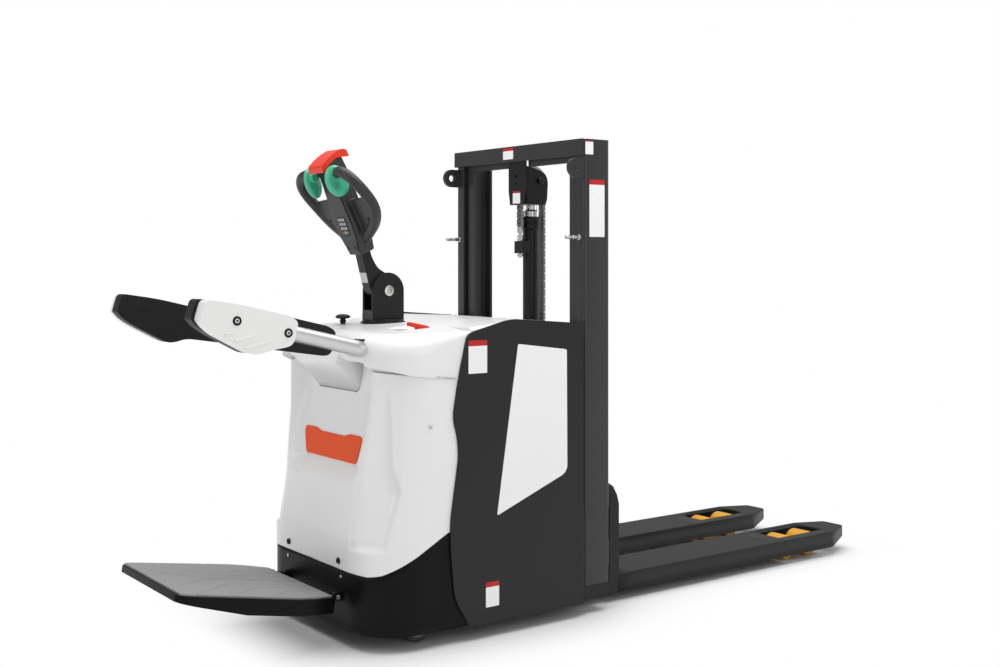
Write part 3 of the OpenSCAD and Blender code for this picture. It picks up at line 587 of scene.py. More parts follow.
def foot_depth(way, z):
    """The pillars and the panel stand back a little from the plain band over the skirt."""
    inside = 1 - ease(abs(way), 318, 352)
    panel = 1 - ease(abs(way), 196, 214)
    return 5 * ease(z, COVER_FOOT - 5, COVER_FOOT + 9) * inside * (1 - panel) + 3 * panel * ease(
        z, COVER_FOOT + 30, COVER_FOOT + 130) * (1 - ease(z, 400, 440))


def cover_surface(way, share):
    z = cover_high(way) * share + 209 * (1 - share)
    for _ in range(3):
        rear = cover_rear(z)
        point, out = rear_plan(way, rear, cover_radius(z))
        low = cover_low(point.x)
        z = low + (cover_high(way) - low) * share
    depth = panel_depth(way, z, rear) + pillar_depth(way, z) + foot_depth(way, z)
    return point - out * depth + Vector((0, 0, z))


front_cover = make_piece("front_cover", wrapped_sheet(COVER_REACH, 330, 150, cover_surface),
                         "chassis", white_plastic, ["front_cover"], angle=50)
add_wall(front_cover, 4)

# ---- Badge, caps and screws ----
# A thin orange plate on the set-back panel, two black caps over the cover's bolts, and small
# zinc-plated button-head screws in the skirt and in the sides of the cover.
PANEL_LEAN = math.atan2(25, 214)
badge = flat_outline([(-147, 8, 10), (147, 8, 10), (169, 76, 8), (160, 88, 8), (96, 88, 10),
                      (74, 80, 10), (-74, 80, 10), (-96, 88, 10), (-160, 88, 8), (-169, 76, 8)])
badge = thicken(badge, (0, 3, 0))
badge.transform(Matrix.Translation((-868.4, 0, 486)) @ Matrix.Rotation(PANEL_LEAN, 4, "Y")
                @ Matrix.Rotation(math.radians(90), 4, "Z"))
orange = finish("orange_enamel", (0.80, 0.075, 0.004), 0.35, 400, 0.00002, dust=0.01, shine=0.2)
make_piece("badge_plate", badge, "chassis", orange, ["badge_plate"], edge=0.8)


def turned(profile, steps=48):
    """A solid turned round the Z axis from (radius, height) points, first and last on the axis."""
    lathe = bmesh.new()
    chain = [lathe.verts.new((r, 0, h)) for r, h in profile]
    edges = [lathe.edges.new(pair) for pair in zip(chain, chain[1:])]
    bmesh.ops.spin(lathe, geom=chain + edges, cent=(0, 0, 0), axis=(0, 0, 1), dvec=(0, 0, 0),
                   angle=2 * math.pi, steps=steps, use_merge=True)
    bmesh.ops.remove_doubles(lathe, verts=lathe.verts, dist=0.001)
    bmesh.ops.recalc_face_normals(lathe, faces=lathe.faces)
    return lathe


def aimed(mesh, point, axis):
    """Turns a shape drawn along Z to point along an axis, and moves it to its place."""
    turn = Vector((0, 0, 1)).rotation_difference(Vector(axis)).to_matrix().to_4x4()
    mesh.transform(Matrix.Translation(point) @ turn)
    return mesh


cap_profile = [(0, 7), (4, 6.6), (7.4, 5), (9, 2.2), (9, 0), (0, 0)]
caps = joined(*[aimed(turned(cap_profile, 32), (SKIRT_REAR - 2, y, 233), (-1, 0, 0))
                for y in (-150, 150)])
# Black moulded parts; the same finish also paints the shade inside the oval opening beside the
# battery handle.
black_plastic_and_shade = finish("black_moulding_and_shade", (0.006, 0.006, 0.0065), 0.5, 900, 0.00006, dust=0.02,
                       shine=0.3)
make_piece("bolt_caps", caps, "chassis", black_plastic_and_shade, ["cover_screws"])
screw_profile = [(0, 1.2), (1.6, 1.2), (1.6, 3), (3.2, 3), (4.6, 1.8), (5, 0.4), (5, 0), (0, 0)]
screws = joined(*[aimed(turned(screw_profile, 24), (SKIRT_REAR, y, 190), (-1, 0, 0))
                  for y in (-159, 159)],
                *[aimed(turned(screw_profile, 24), (-748, side * CABIN_HALF, 611), (0, side, 0))
                  for side in (-1, 1)])
zinc = finish("zinc_plate", (0.55, 0.55, 0.53), 0.32, 500, 0.00004, metallic=1.0)
make_piece("cover_screws", screws, "chassis", zinc)

# ---- Top cover ----
# One white moulding that closes the cabin round the tiller. It has a soft shoulder along both
# sides, a chin over the set-back panel, a raised ring at the column and a hollow at the handle.
TOP_REAR, TOP_FRONT, TOP_RADIUS = -925, -612, 200
TOP_HEIGHT = 883.5
COLUMN = Vector((-690, 0, 0))
HANDLE = Vector((-690, -200, 0))
KNOB = Vector((-785, 75, 0))


def rear_edge(y):
    """X of the top cover's rear edge at that distance from the middle."""
    past = max(0, abs(y) - (CABIN_HALF - TOP_RADIUS))
    return TOP_REAR + TOP_RADIUS - math.sqrt(max(0, TOP_RADIUS ** 2 - past ** 2))


def way_round(x, y):
    """How far a point on the top cover's edge lies round from the middle of the rear."""
    flat = CABIN_HALF - TOP_RADIUS
    centre = TOP_REAR + TOP_RADIUS
    if x > centre:
        way = flat + TOP_RADIUS * math.pi / 2 + (x - centre)
    elif abs(y) <= flat:
        way = abs(y)
    else:
        way = flat + TOP_RADIUS * math.atan2(abs(y) - flat, centre - x)
    return math.copysign(way, y)


def shoulder_drop(x, y):
    """How far the rounded shoulder has fallen at a point of the top."""
    radius = along(x, (-760, 58), (-640, 22), (TOP_FRONT, 10))
    corner = Vector((min(0, x - TOP_REAR - TOP_RADIUS), max(0, abs(y) - CABIN_HALF + TOP_RADIUS)))
    if corner.x < 0 and corner.y > 0:
        inside = TOP_RADIUS - corner.length
    else:
        inside = min(CABIN_HALF - abs(y), x - TOP_REAR)
    short = max(0, radius - inside)
    return radius - math.sqrt(max(0, radius ** 2 - short ** 2))


def hollow(x, y):
    """The oval hollow that the red handle stands in, deeper towards the operator."""
    turned_x = (x - HANDLE.x + 28) * math.cos(0.1) + (y - HANDLE.y) * math.sin(0.1)
    share = math.hypot(turned_x / 74, (y - HANDLE.y) / 36)
    return 13 * (1 - ease(share, 0.55, 1.0))


def top_surface(u, v):
    y = CABIN_HALF * (0.7 * (3 * u - u ** 3) / 2 + 0.3 * u)
    x = TOP_FRONT + (rear_edge(y) - TOP_FRONT) * (0.6 * (1 - (1 - v) ** 1.6) + 0.4 * v)
    crown = TOP_HEIGHT - 14 * ease(-x, -TOP_FRONT, 960) - 13 * ease(abs(y), 150, 330)
    z = crown - shoulder_drop(x, y) - hollow(x, y)
    z += 1.6 * (1 - ease(math.hypot(x - COLUMN.x, y), 74, 78))
    z += 1.5 * (1 - ease(math.hypot(x - KNOB.x, y - KNOB.y), 15, 19))
    return Vector((x, y, z))


top = bmesh.new()
bmesh.ops.create_grid(top, x_segments=230, y_segments=110, size=1)
for vertex in top.verts:
    vertex.co = top_surface(vertex.co.x, (vertex.co.y + 1) / 2)
rim = [edge for edge in top.edges if edge.is_boundary
       and max(v.co.x for v in edge.verts) < TOP_FRONT - 0.01]
rim += [edge for edge in top.edges if edge.is_boundary and edge not in rim
        and min(abs(v.co.y) for v in edge.verts) > CABIN_HALF - 0.01]


def chin_drop(x, y):
    """Where the upright rim ends: just over the seam, and higher over the chin."""
    return cover_high(way_round(x, y)) + along(x, (-890, 16), (-800, 1.5))


for target in ("upright", "turned_in"):
    grown = bmesh.ops.extrude_edge_only(top, edges=rim)["geom"]
    rim = [part for part in grown if isinstance(part, bmesh.types.BMEdge) and part.is_boundary
           and not all(v.co.x > TOP_FRONT - 0.01 for v in part.verts)]
    for vertex in [part for part in grown if isinstance(part, bmesh.types.BMVert)]:
        way = way_round(vertex.co.x, vertex.co.y)
        if target == "upright":
            vertex.co.z = min(vertex.co.z, max(chin_drop(vertex.co.x, vertex.co.y), 788
                                               if vertex.co.x < -900 else 0))
        else:
            seat = cover_surface(way, 1.0)
            vertex.co = Vector((seat.x, seat.y, cover_high(way) + 1.5))
bmesh.ops.recalc_face_normals(top, faces=top.faces)
highest = max(top.faces, key=lambda face: face.calc_center_median().z)
if highest.normal.z < 0:
    bmesh.ops.reverse_faces(top, faces=top.faces)
top_cover = make_piece("top_cover", top, "chassis", white_plastic, ["top_cover"],
                       angle=40)
add_wall(top_cover, 4)

# ---- Hood ----
# The white moulded lid over the battery, hinged at the mast, with rounded side edges and a slot
# at the near side to lift it by. It is 4 mm thick and stands level with the side panels.
HOOD_REAR, HOOD_FRONT, HOOD_HALF, HOOD_LOW = -611.5, -207, 346, 842
HOOD_ROUND = 14


def spaced(low, high, *marks, step=12):
    """Even stops between two ends that also fall on every mark."""
    stops = [low]
    for mark in [*marks, high]:
        start = stops[-1]
        parts = max(1, round((mark - start) / step))
        stops += [start + (mark - start) * (part + 1) / parts for part in range(parts)]
    return stops


def sheet_over(xs, ys, height):
    """A grid of faces over the given x and y stops, at the height of each point."""
    sheet = bmesh.new()
    bmesh.ops.create_grid(sheet, x_segments=len(xs) - 1, y_segments=len(ys) - 1, size=1)
    for vertex in sheet.verts:
        x = xs[round((vertex.co.x + 1) / 2 * (len(xs) - 1))]
        y = ys[round((vertex.co.y + 1) / 2 * (len(ys) - 1))]
        vertex.co = (x, y, height(x, y))
    return sheet


def hood_height(x, y):
    crown = along(x, (HOOD_REAR, 878), (-560, 884.5), (-477, 891.5), (-440, 891.5), (-207, 880))
    short = max(0, HOOD_ROUND - (HOOD_HALF - abs(y)))
    return crown - HOOD_ROUND + math.sqrt(HOOD_ROUND ** 2 - short ** 2)


def cut_window(sheet, low, high):
    """Opens a window in a sheet between two (x, y) corners that lie on its stops."""
    gone = [face for face in sheet.faces if low[0] < face.calc_center_median().x < high[0]
            and low[1] < face.calc_center_median().y < high[1]]
    bmesh.ops.delete(sheet, geom=gone, context="FACES")


def drop_rim(sheet, level, within=None):
    """Turns a sheet's outer edges down to a level that can vary along them."""
    rim = [edge for edge in sheet.edges if edge.is_boundary and (not within or within(edge))]
    grown = bmesh.ops.extrude_edge_only(sheet, edges=rim)["geom"]
    for vertex in [part for part in grown if isinstance(part, bmesh.types.BMVert)]:
        vertex.co.z = level(vertex.co.x, vertex.co.y)
    bmesh.ops.recalc_face_normals(sheet, faces=sheet.faces)
    highest = max(sheet.faces, key=lambda face: face.calc_center_median().z)
    if highest.normal.z < 0:
        bmesh.ops.reverse_faces(sheet, faces=sheet.faces)
    return sheet


def at_hood_edge(edge):
    middle = (edge.verts[0].co + edge.verts[1].co) / 2
    return (abs(middle.y) > HOOD_HALF - 0.1 or middle.x < HOOD_REAR + 0.1
            or middle.x > HOOD_FRONT - 0.1)


hood_sheet = sheet_over(spaced(HOOD_REAR, HOOD_FRONT, -477, -452, -428),
                        spaced(-HOOD_HALF, HOOD_HALF, -344, -340, -334, -225, -134, 334, 340, 344),
                        hood_height)
cut_window(hood_sheet, (-452, -225), (-428, -134))
hood = make_piece("hood", drop_rim(hood_sheet, lambda x, y: HOOD_LOW, at_hood_edge), "hood",
                  white_plastic, ["battery_hood"], angle=40)
add_wall(hood, 4)

# ---- Outer mast ----
# Two rolled channels welded to a flat top beam and a lower tie. The lifting lugs are flame-cut
# plates welded on; two steel pins carry the screen. Powder coated black, with plain labels.
MAST_REAR, MAST_HALF, MAST_TOP = -190, 339, 1435
UPRIGHT = Matrix.Rotation(math.radians(-90), 4, "X")


def bar(points, z0, z1):
    """A bar of constant section, from its (x, y) outline, between two heights."""
    flat = flat_outline(points)
    flat.transform(Matrix.Translation((0, 0, z0)) @ UPRIGHT)
    return thicken(flat, (0, 0, z1 - z0))


channel = [(-190, 299), (-190, 339, 9), (-90, 339, 9), (-90, 299), (-100, 299), (-100, 329, 4),
           (-180, 329, 4), (-180, 299)]
mast_paint = finish("mast_powder_coat", (0.020, 0.020, 0.021), 0.34, 1200, 0.00004, dust=0.04,
                    shine=0.45)
mast = joined(with_mirror(bar(channel, 86, MAST_TOP)),
              with_mirror(block((MAST_REAR, 300, MAST_TOP - 5), (-92, 337, MAST_TOP - 0.5))),
              block((-202, -338, MAST_TOP - 50), (MAST_REAR, 338, MAST_TOP)),
              block((-202, -338, 86), (MAST_REAR, 338, 330)))
make_piece("outer_mast", mast, "chassis", mast_paint, ["outer_mast"], edge=1.5)


def bead(start, reach, count, radius):
    """A weld bead: a row of small overlapping lumps."""
    lumps = bmesh.new()
    for number in range(count):
        centre = Vector(start) + Vector(reach) * (number + 0.5) / count
        swing = radius * (0.86 + 0.14 * math.sin(number * 2.3))
        bmesh.ops.create_icosphere(lumps, subdivisions=2, radius=swing,
                                   matrix=Matrix.Translation(centre))
    return lumps


welds = joined(with_mirror(bead((-193, 338, 1386), (0, 0, 48), 12, 3.0)),
               with_mirror(bead((-192, 325, 1318), (0, 0, 58), 15, 2.6)))
make_piece("mast_welds", welds, "chassis", mast_paint)


def arc(x, z, radius, start, end, steps=14):
    """Points on an arc in the upright plane, from one angle to another in degrees."""
    turns = [math.radians(start + (end - start) * step / steps) for step in range(steps + 1)]
    return [(x + radius * math.cos(turn), z + radius * math.sin(turn)) for turn in turns]


def pierced(points, holes, y0, y1):
    """A plate with holes: an (x, z) outline and hole outlines, between two y planes."""
    plate = bmesh.new()
    loops = []
    for ring in [points, *holes]:
        corners = [plate.verts.new((p[0], y0, p[1])) for p in ring]
        loops += [plate.edges.new(pair) for pair in zip(corners, corners[1:] + corners[:1])]
    bmesh.ops.triangle_fill(plate, use_beauty=True, use_dissolve=True, edges=loops)
    return thicken(plate, (0, y1 - y0, 0))


lug_outline = arc(-220, 1347, 30, 90, 270, 20) + [(-189, 1317), (-189, 1377)]
lugs = with_mirror(pierced(lug_outline, [arc(-220, 1347, 11, 0, 345, 23)], 325, 337))
make_piece("mast_lugs", lugs, "chassis", mast_paint, ["mast_lugs"], edge=1.2)
pin_profile = [(0, 56), (5, 56), (6, 54), (6, 40), (4.6, 38), (4.6, 30), (6, 28), (6, 7), (9, 6),
               (9, 0), (0, 0)]
pins = joined(*[aimed(turned(pin_profile, 24), (MAST_REAR, y, 1138), (-1, 0, 0))
                for y in (-318, 318)],
              *[aimed(turned([(0, 7), (6, 6), (9, 3), (9, 0), (0, 0)], 24),
                      (-202, y, 872), (-1, 0, 0)) for y in (-330, 330)])
make_piece("screen_pins", pins, "chassis", zinc)
sticker("hook_label", (-187, 1388), (-156, 1429), 3, MAST_HALF)
sticker("load_label", (-171, 1139), (-111, 1312), 15, MAST_HALF)


def rear_label(name, x, low, high, band, body="chassis"):
    """A label that faces the operator, between two (y, z) corners, with a red top band."""
    split = high[1] - band
    for piece_name, z0, z1, material in ((name, low[1], split, white_film),
                                         (name + "_band", split, high[1], red_film)):
        make_piece(piece_name, block((x - 0.4, low[0], z0), (x, high[0], z1)), body,
                   material)


rear_label("beam_label", -202, (2, 1394), (56, 1430), 9)

# ---- Lift cylinder ----
# The black single-acting ram with a bright gland nut, a hard-chromed rod, and the clamped block
# whose stud and lock nuts hold the fixed end of the chain.
LIFT_X = -130


def round_post(profile, x=LIFT_X, y=0.0, steps=48):
    post = turned(profile, steps)
    bmesh.ops.translate(post, verts=post.verts, vec=(x, y, 0))
    return post


barrel = round_post([(0, 86), (35, 86), (35, 98), (33, 100), (27, 101), (27, 1166), (29, 1168),
                     (32, 1171), (32, 1186), (30.6, 1187), (30.6, 1190), (32, 1191), (32, 1204),
                     (29, 1208), (0, 1208)])
enamel = finish("ram_enamel", (0.004, 0.004, 0.0045), 0.3, 500, 0.00002, dust=0.02, shine=0.3)
make_piece("lift_cylinder", barrel, "chassis", enamel, ["lift_cylinder"])
chrome = finish("hard_chrome", (0.78, 0.79, 0.80), 0.14, 200, 0.00001, metallic=1.0, dust=0.0)
gland = round_post([(0, 1208), (25, 1208), (26, 1209.5), (26, 1226), (24, 1229), (19, 1229),
                    (18, 1232), (0, 1232)])
make_piece("gland_nut", gland, "chassis", chrome)
rod = round_post([(0, 110), (17.5, 110), (17.5, 1246), (0, 1246)])
make_piece("piston_rod", rod, "inner_stage", chrome, ["piston_rod"])


def hex_nut(x, y, z, across, height):
    """A hexagon nut with chamfered corners, standing on z."""
    nut = bmesh.new()
    bmesh.ops.create_cone(nut, cap_ends=True, segments=6, radius1=across / 1.732,
                          radius2=across / 1.732, depth=height,
                          matrix=Matrix.Translation((x, y, z + height / 2)))
    bmesh.ops.bevel(nut, geom=nut.edges[:], offset=height * 0.1, segments=2, affect="EDGES",
                    profile=0.5)
    return nut


anchor = block((-183, -22, 1090), (-150, 22, 1130))
make_piece("chain_anchor", joined(anchor, block((-152, -20, 1098), (-130, 20, 1122))), "chassis",
           enamel, ["chain_anchor"], edge=2)
stud = joined(round_post([(0, 1076), (5, 1076), (5, 1164), (0, 1164)], -175, 0, 20),
              hex_nut(-175, 0, 1080, 17, 8), hex_nut(-175, 0, 1130, 17, 9),
              hex_nut(-175, 0, 1141, 17, 7),
              bar([(-181, -10, 3), (-169, -10, 3), (-169, 10, 3), (-181, 10, 3)], 1156, 1176))
make_piece("chain_stud", stud, "chassis", zinc)

# ---- Chain, wheel and bracket ----
# A leaf chain of punched steel plates on riveted pins. It runs from the fixed stud over a steel
# wheel in the bracket on the ram, and down to the carriage; its plates are oiled and dark.
WHEEL_Z, WHEEL_R, LINK = 1324, 45, 12.74


def link_plate(y0, y1, length):
    """One figure-of-eight plate standing from a pin at the origin to the next one above."""
    outline = (arc(0, 0, 5.2, 200, 340, 8) + [(3.7, length / 2)]
               + arc(0, length, 5.2, 20, 160, 8) + [(-3.7, length / 2)])
    return side_plate(outline, y0, y1)


def chain_link(number, length=LINK):
    """One link with its pin; wide and narrow plates take turns along the chain."""
    spread = ((3.0, 5.4), (10.2, 12.6)) if number % 2 else ((-1.2, 1.2), (6.6, 9.0))
    plates = []
    for inner, outer in spread:
        plates.append(link_plate(inner, outer, length))
        if inner > 0:
            plates.append(link_plate(-outer, -inner, length))
    pin = turned([(0, -13.4), (2.4, -13.4), (2.8, -12.8), (2.8, 12.8), (2.4, 13.4), (0, 13.4)], 10)
    return joined(*plates, aimed(pin, (0, 0, 0), (0, 1, 0)))


def chain_run(x, z0, z1, first=0):
    """A straight run of links between two heights."""
    count = round((z1 - z0) / LINK)
    length = (z1 - z0) / count
    run = bmesh.new()
    patterns = []
    for number in (0, 1):
        carrier = bpy.data.meshes.new("carrier")
        pattern = chain_link(number, length)
        pattern.to_mesh(carrier)
        pattern.free()
        patterns.append(carrier)
    for number in range(count):
        before = len(run.verts)
        run.from_mesh(patterns[(number + first) % 2])
        run.verts.ensure_lookup_table()
        bmesh.ops.translate(run, verts=run.verts[before:], vec=(x, 0, z0 + number * length))
    for carrier in patterns:
        bpy.data.meshes.remove(carrier)
    return run


oiled_steel = finish("oiled_chain_steel", (0.26, 0.26, 0.27), 0.34, 700, 0.00005, metallic=1.0,
                     dust=0.1, spread=0.3)
rear_run = make_piece("rear_chain", chain_run(-175, 1170, WHEEL_Z), None,
                      oiled_steel, ["rear_chain"])
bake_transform(rear_run)
front_run = make_piece("front_chain", chain_run(-85, 232, WHEEL_Z), None,
                       oiled_steel, ["front_chain"])
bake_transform(front_run)
over = bmesh.new()
STEPS_OVER = 11
for step in range(STEPS_OVER):
    turn = math.pi * step / STEPS_OVER
    each = chain_link(step, 2 * WHEEL_R * math.sin(math.pi / STEPS_OVER / 2))
    lean = math.pi / STEPS_OVER / 2 + turn
    each.transform(Matrix.Translation((LIFT_X - WHEEL_R * math.cos(turn), 0,
                                       WHEEL_Z + WHEEL_R * math.sin(turn)))
                   @ Matrix.Rotation(lean, 4, "Y"))
    over = joined(over, each)
make_piece("chain_over_wheel", over, "inner_stage", oiled_steel)

wheel_profile = [(0, -37), (20, -37), (20, -20), (44, -19), (48, -18), (48, -14), (42, -13),
                 (38.8, -12), (38.8, 12), (42, 13), (48, 14), (48, 18), (44, 19), (20, 20),
                 (20, 37), (0, 37)]
make_piece("chain_wheel", aimed(turned(wheel_profile, 56), (LIFT_X, 0, WHEEL_Z), (0, 1, 0)),
           "chain_sheave", bearing_steel, ["chain_wheel"])


def across(points, holes, x0, x1):
    """A plate that faces along the truck: (y, z) outlines, between two x planes."""
    plate = pierced(points, holes, 0, x1 - x0)
    plate.transform(Matrix.Translation((x1, 0, 0)) @ Matrix.Rotation(math.radians(90), 4, "Z"))
    return plate


back_plate = across([(-38, 1247), (38, 1247), (46, 1290), (46, 1412), (-46, 1412), (-46, 1290)],
                    [arc(7, 1337, 6, 0, 345, 23), arc(7, 1315, 4, 0, 345, 23)], -188, -183)
cheek = side_plate([(-183, 1247), (-108, 1247, 8), (-100, 1262, 8), (-96, 1330, 16),
                    (-112, 1352, 16), (-160, 1366, 10), (-183, 1370)], 38.5, 46.5)
bolts = [aimed(turned([(0, 9), (9, 9), (11, 7), (11, 0), (0, 0)], 24), (LIFT_X, side * 46.5,
                                                                    WHEEL_Z), (0, side, 0))
         for side in (-1, 1)]
make_piece("chain_bracket", joined(back_plate, with_mirror(cheek),
                                   block((-183, -40, 1247), (-100, 40, 1261)), *bolts),
           "inner_stage", enamel, ["chain_bracket"], edge=1.2)
rear_label("bracket_label", -188, (-17, 1251), (22, 1290), 6, "inner_stage")

# ---- Inner mast ----
# The telescoping frame: two lighter channels that open inwards, joined by plates at the top and
# the foot, on steel rollers that run inside the outer channels. Black, polished where they run.
rail = [(-178, 253), (-178, 293, 5), (-102, 293, 5), (-102, 253), (-110, 253), (-110, 285, 3),
        (-170, 285, 3), (-170, 253)]
inner = joined(with_mirror(bar(rail, 88, 1425)), with_mirror(block((-178, 46.5, 1367),
                                                                   (-164, 254, 1413))),
               block((-178, -254, 100), (-168, 254, 180)))
make_piece("inner_mast", inner, "inner_stage", mast_paint, ["inner_mast"], edge=1.2)
roller = [(0, 0), (14, 0), (16, 2), (34, 2), (38.5, 4), (38.5, 30), (34, 32), (16, 32), (0, 30)]
rollers = joined(*[aimed(turned(roller, 40), (-140, side * 295, z), (0, side, 0))
                   for z in (130, 480) for side in (-1, 1)])
make_piece("mast_rollers", rollers, "inner_stage", bearing_steel)

# ---- Carriage and forks ----
# The carriage is two cross plates on side plates with rollers. Each fork is one folded steel
# blade, open below, with a window for its wheels and a box-shaped shank. All black.
FORK_IN, FORK_OUT, FORK_TOP, FORK_LOW = 98, 283, 86, 30
FORK_MIDDLE = (FORK_IN + FORK_OUT) / 2
side_bracket = side_plate([(-164, 96, 6), (-54, 96), (-54, 366), (-140, 366, 20), (-164, 340, 10)],
                          239, 249)
carriage = joined(block((-54, -283, 120), (-42.2, 283, 200)),
                  block((-54, -283, 300), (-42.2, 283, 374)), with_mirror(side_bracket),
                  block((-95, -24, 200), (-53, 24, 232)))
make_piece("carriage", carriage, "carriage", mast_paint, ["carriage_frame"],
           edge=1.5)
small_roller = [(0, 0), (10, 0), (12, 2), (26, 2), (29.5, 4), (29.5, 26), (26, 28), (0, 27)]
carriage_rollers = joined(*[aimed(turned(small_roller, 32), (-140, side * 256, z), (0, side, 0))
                            for z in (130, 330) for side in (-1, 1)])
make_piece("carriage_rollers", carriage_rollers, "carriage", bearing_steel)


def fork_edge(x, y):
    """Draws the blade in towards its middle along the taper at the tip."""
    return FORK_MIDDLE + (y - FORK_MIDDLE) * along(x, (1036, 1), (FORK_LENGTH, 0.492))


blade = sheet_over(spaced(-6, FORK_LENGTH, 790, 1020, 1036, step=60),
                   spaced(FORK_IN, FORK_OUT, 141, 240, step=30), lambda x, y: FORK_TOP)
cut_window(blade, (790, 141), (1020, 240))
for vertex in blade.verts:
    vertex.co.y = fork_edge(vertex.co.x, vertex.co.y)
tip = [v for v in blade.verts if v.co.x > FORK_LENGTH - 1 and abs(v.co.y - FORK_MIDDLE) > 45]
bmesh.ops.bevel(blade, geom=tip, affect="VERTICES", offset=14, segments=6, profile=0.5)


def at_blade_edge(edge):
    """The blade's outline, without its window and its heel."""
    middle = (edge.verts[0].co + edge.verts[1].co) / 2
    return middle.x > -5 and not (788 < middle.x < 1022 and 140 < middle.y < 241)


drop_rim(blade, lambda x, y: along(x, (1030, FORK_LOW), (FORK_LENGTH, 50)), at_blade_edge)
forks = make_piece("fork_blades", with_mirror(blade), "carriage", black_steel,
                   ["forks"], edge=4, angle=50, steps=3)
add_wall(forks, 7)
shank = side_plate([(-42, 29), (0, 29), (0, 306), (-8, 334), (-24, 362), (-42, 374)], 98.2, 282.8)
make_piece("fork_shanks", with_mirror(shank), "carriage", black_steel, edge=2.5)
slots = with_mirror(side_plate([(-41, 228, 3), (-34, 228, 3), (-34, 330, 3), (-41, 330, 3)],
                               282.8, 283.3))
make_piece("shank_slots", slots, "carriage", black_plastic_and_shade)
paint_nodes(black_steel, "support_legs")
paint_nodes(dark_paint, "bogie_left", "bogie_right", "caster_yoke_left", "caster_yoke_right")

# ---- Wheels ----
# Yellow polyurethane load wheels on steel hubs in the fork tips, grey rubber casters beside the
# rubber-tyred drive wheel. Each tyre is bonded to its hub, which runs on ball bearings.
yellow_tyre = finish("yellow_polyurethane", (0.78, 0.38, 0.008), 0.38, 500, 0.00003, dust=0.06)
rubber = finish("tyre_rubber", (0.012, 0.012, 0.012), 0.62, 500, 0.00012, dust=0.05, shine=0.25)
grey_rubber = finish("caster_rubber", (0.05, 0.05, 0.052), 0.55, 500, 0.0001, dust=0.12)


def tyre_and_hub(name, body, node, centre, radius, width, thickness, tyre):
    """A rounded tyre ring bonded to a dished steel hub, as two pieces on one axle."""
    half, bond = width / 2, radius - thickness
    ring = [(bond, -half + 2), (radius - 5, -half), (radius - 1.5, -half + 2), (radius, -half + 5),
            (radius, half - 5), (radius - 1.5, half - 2), (radius - 5, half), (bond, half - 2),
            (bond, -half + 2)]
    hub = [(0, -half + 1), (14, -half + 1), (15, -half + 2), (15, -half + 6), (bond - 5, -half + 7),
           (bond - 3, -half + 3), (bond, -half + 3), (bond, half - 3), (bond - 3, half - 3),
           (bond - 5, half - 7), (15, half - 6), (15, half - 2), (14, half - 1), (0, half - 1)]
    make_piece(name + "_tyre", aimed(turned(ring, 56), centre, (0, 1, 0)), body, tyre,
               [node])
    make_piece(name + "_hub", aimed(turned(hub, 40), centre, (0, 1, 0)), body,
               bearing_steel)


for side, sign in (("left", 1), ("right", -1)):
    for end, x in (("rear", 849), ("front", 965)):
        tyre_and_hub(f"load_wheel_{side}_{end}", f"load_roller_{side}_{end}",
                     f"load_wheel_{side}_{end}", (x, sign * FORK_MIDDLE, 42), 42, 80, 12,
                     yellow_tyre)
    tyre_and_hub(f"caster_{side}", f"caster_roller_{side}", f"caster_wheel_{side}",
                 (-734, sign * 245, 50), 50, 44, 14, grey_rubber)
tyre_and_hub("drive_wheel", "drive_wheel", "drive_wheel_tyre", (-690, 0, 115), 115, 75, 20, rubber)
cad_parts["drive_wheel_hub"].data.materials.clear()
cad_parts["drive_wheel_hub"].data.materials.append(bearing_steel)

# ---- Tiller base and arm ----
# Two flame-cut plates on a turning flange hold the pivot bolt; a grey cover closes them towards
# the operator. The arm is a curved black box section with a plain label down its back.
PIVOT_X, PIVOT_Z = -690, 978
cheek_outline = arc(PIVOT_X, PIVOT_Z, 54, 0, 180, 28) + [(-744, 887), (-636, 887)]
plates = with_mirror(pierced(cheek_outline, [arc(PIVOT_X, PIVOT_Z, 12, 0, 345, 23)], 22, 30))
flange = round_post([(0, 885), (61, 885), (62, 886), (62, 892), (61, 893), (0, 893)], PIVOT_X)
base = joined(plates, flange, block((-650, -29, 893), (-642, 29, 935)))
tiller_paint = finish("tiller_powder_coat", (0.005, 0.005, 0.0055), 0.4, 1100, 0.00005,
                      dust=0.02, shine=0.3)
make_piece("tiller_base", base, "drive_unit", tiller_paint, ["tiller_base"],
           edge=1.4)
cover_grey = finish("grey_moulding", (0.045, 0.045, 0.047), 0.42, 900, 0.00005, dust=0.06)
make_piece("tiller_base_cover", block((-746, -29, 889), (-736, 29, 921)), "drive_unit",
           cover_grey, edge=2)
gasket = round_post([(0, 883), (67, 883), (68, 884.5), (66, 886), (0, 886)], PIVOT_X)
make_piece("column_gasket", gasket, "drive_unit", rubber)
bolt_profile = [(0, 2.5), (6.5, 2.5), (7.5, 6.5), (13, 6.5), (15.5, 5), (16, 0), (0, 0)]
pivot = joined(*[aimed(turned(bolt_profile, 40), (PIVOT_X, side * 30, PIVOT_Z), (0, side, 0))
                 for side in (-1, 1)],
               aimed(turned([(0, -30), (12, -30), (12, 30), (0, 30)], 32),
                     (PIVOT_X, 0, PIVOT_Z), (0, 1, 0)))
make_piece("tilt_pin", pivot, "drive_unit", zinc, ["tilt_pin"])

NECK, HEAD_LEAN = Vector((-761, 0, 1092)), math.radians(23)
HEAD = Matrix.Translation(NECK) @ Matrix.Rotation(-HEAD_LEAN, 4, "Y")


def head_point(x, z):
    moved = HEAD @ Vector((x, 0, z))
    return (moved.x, moved.z)


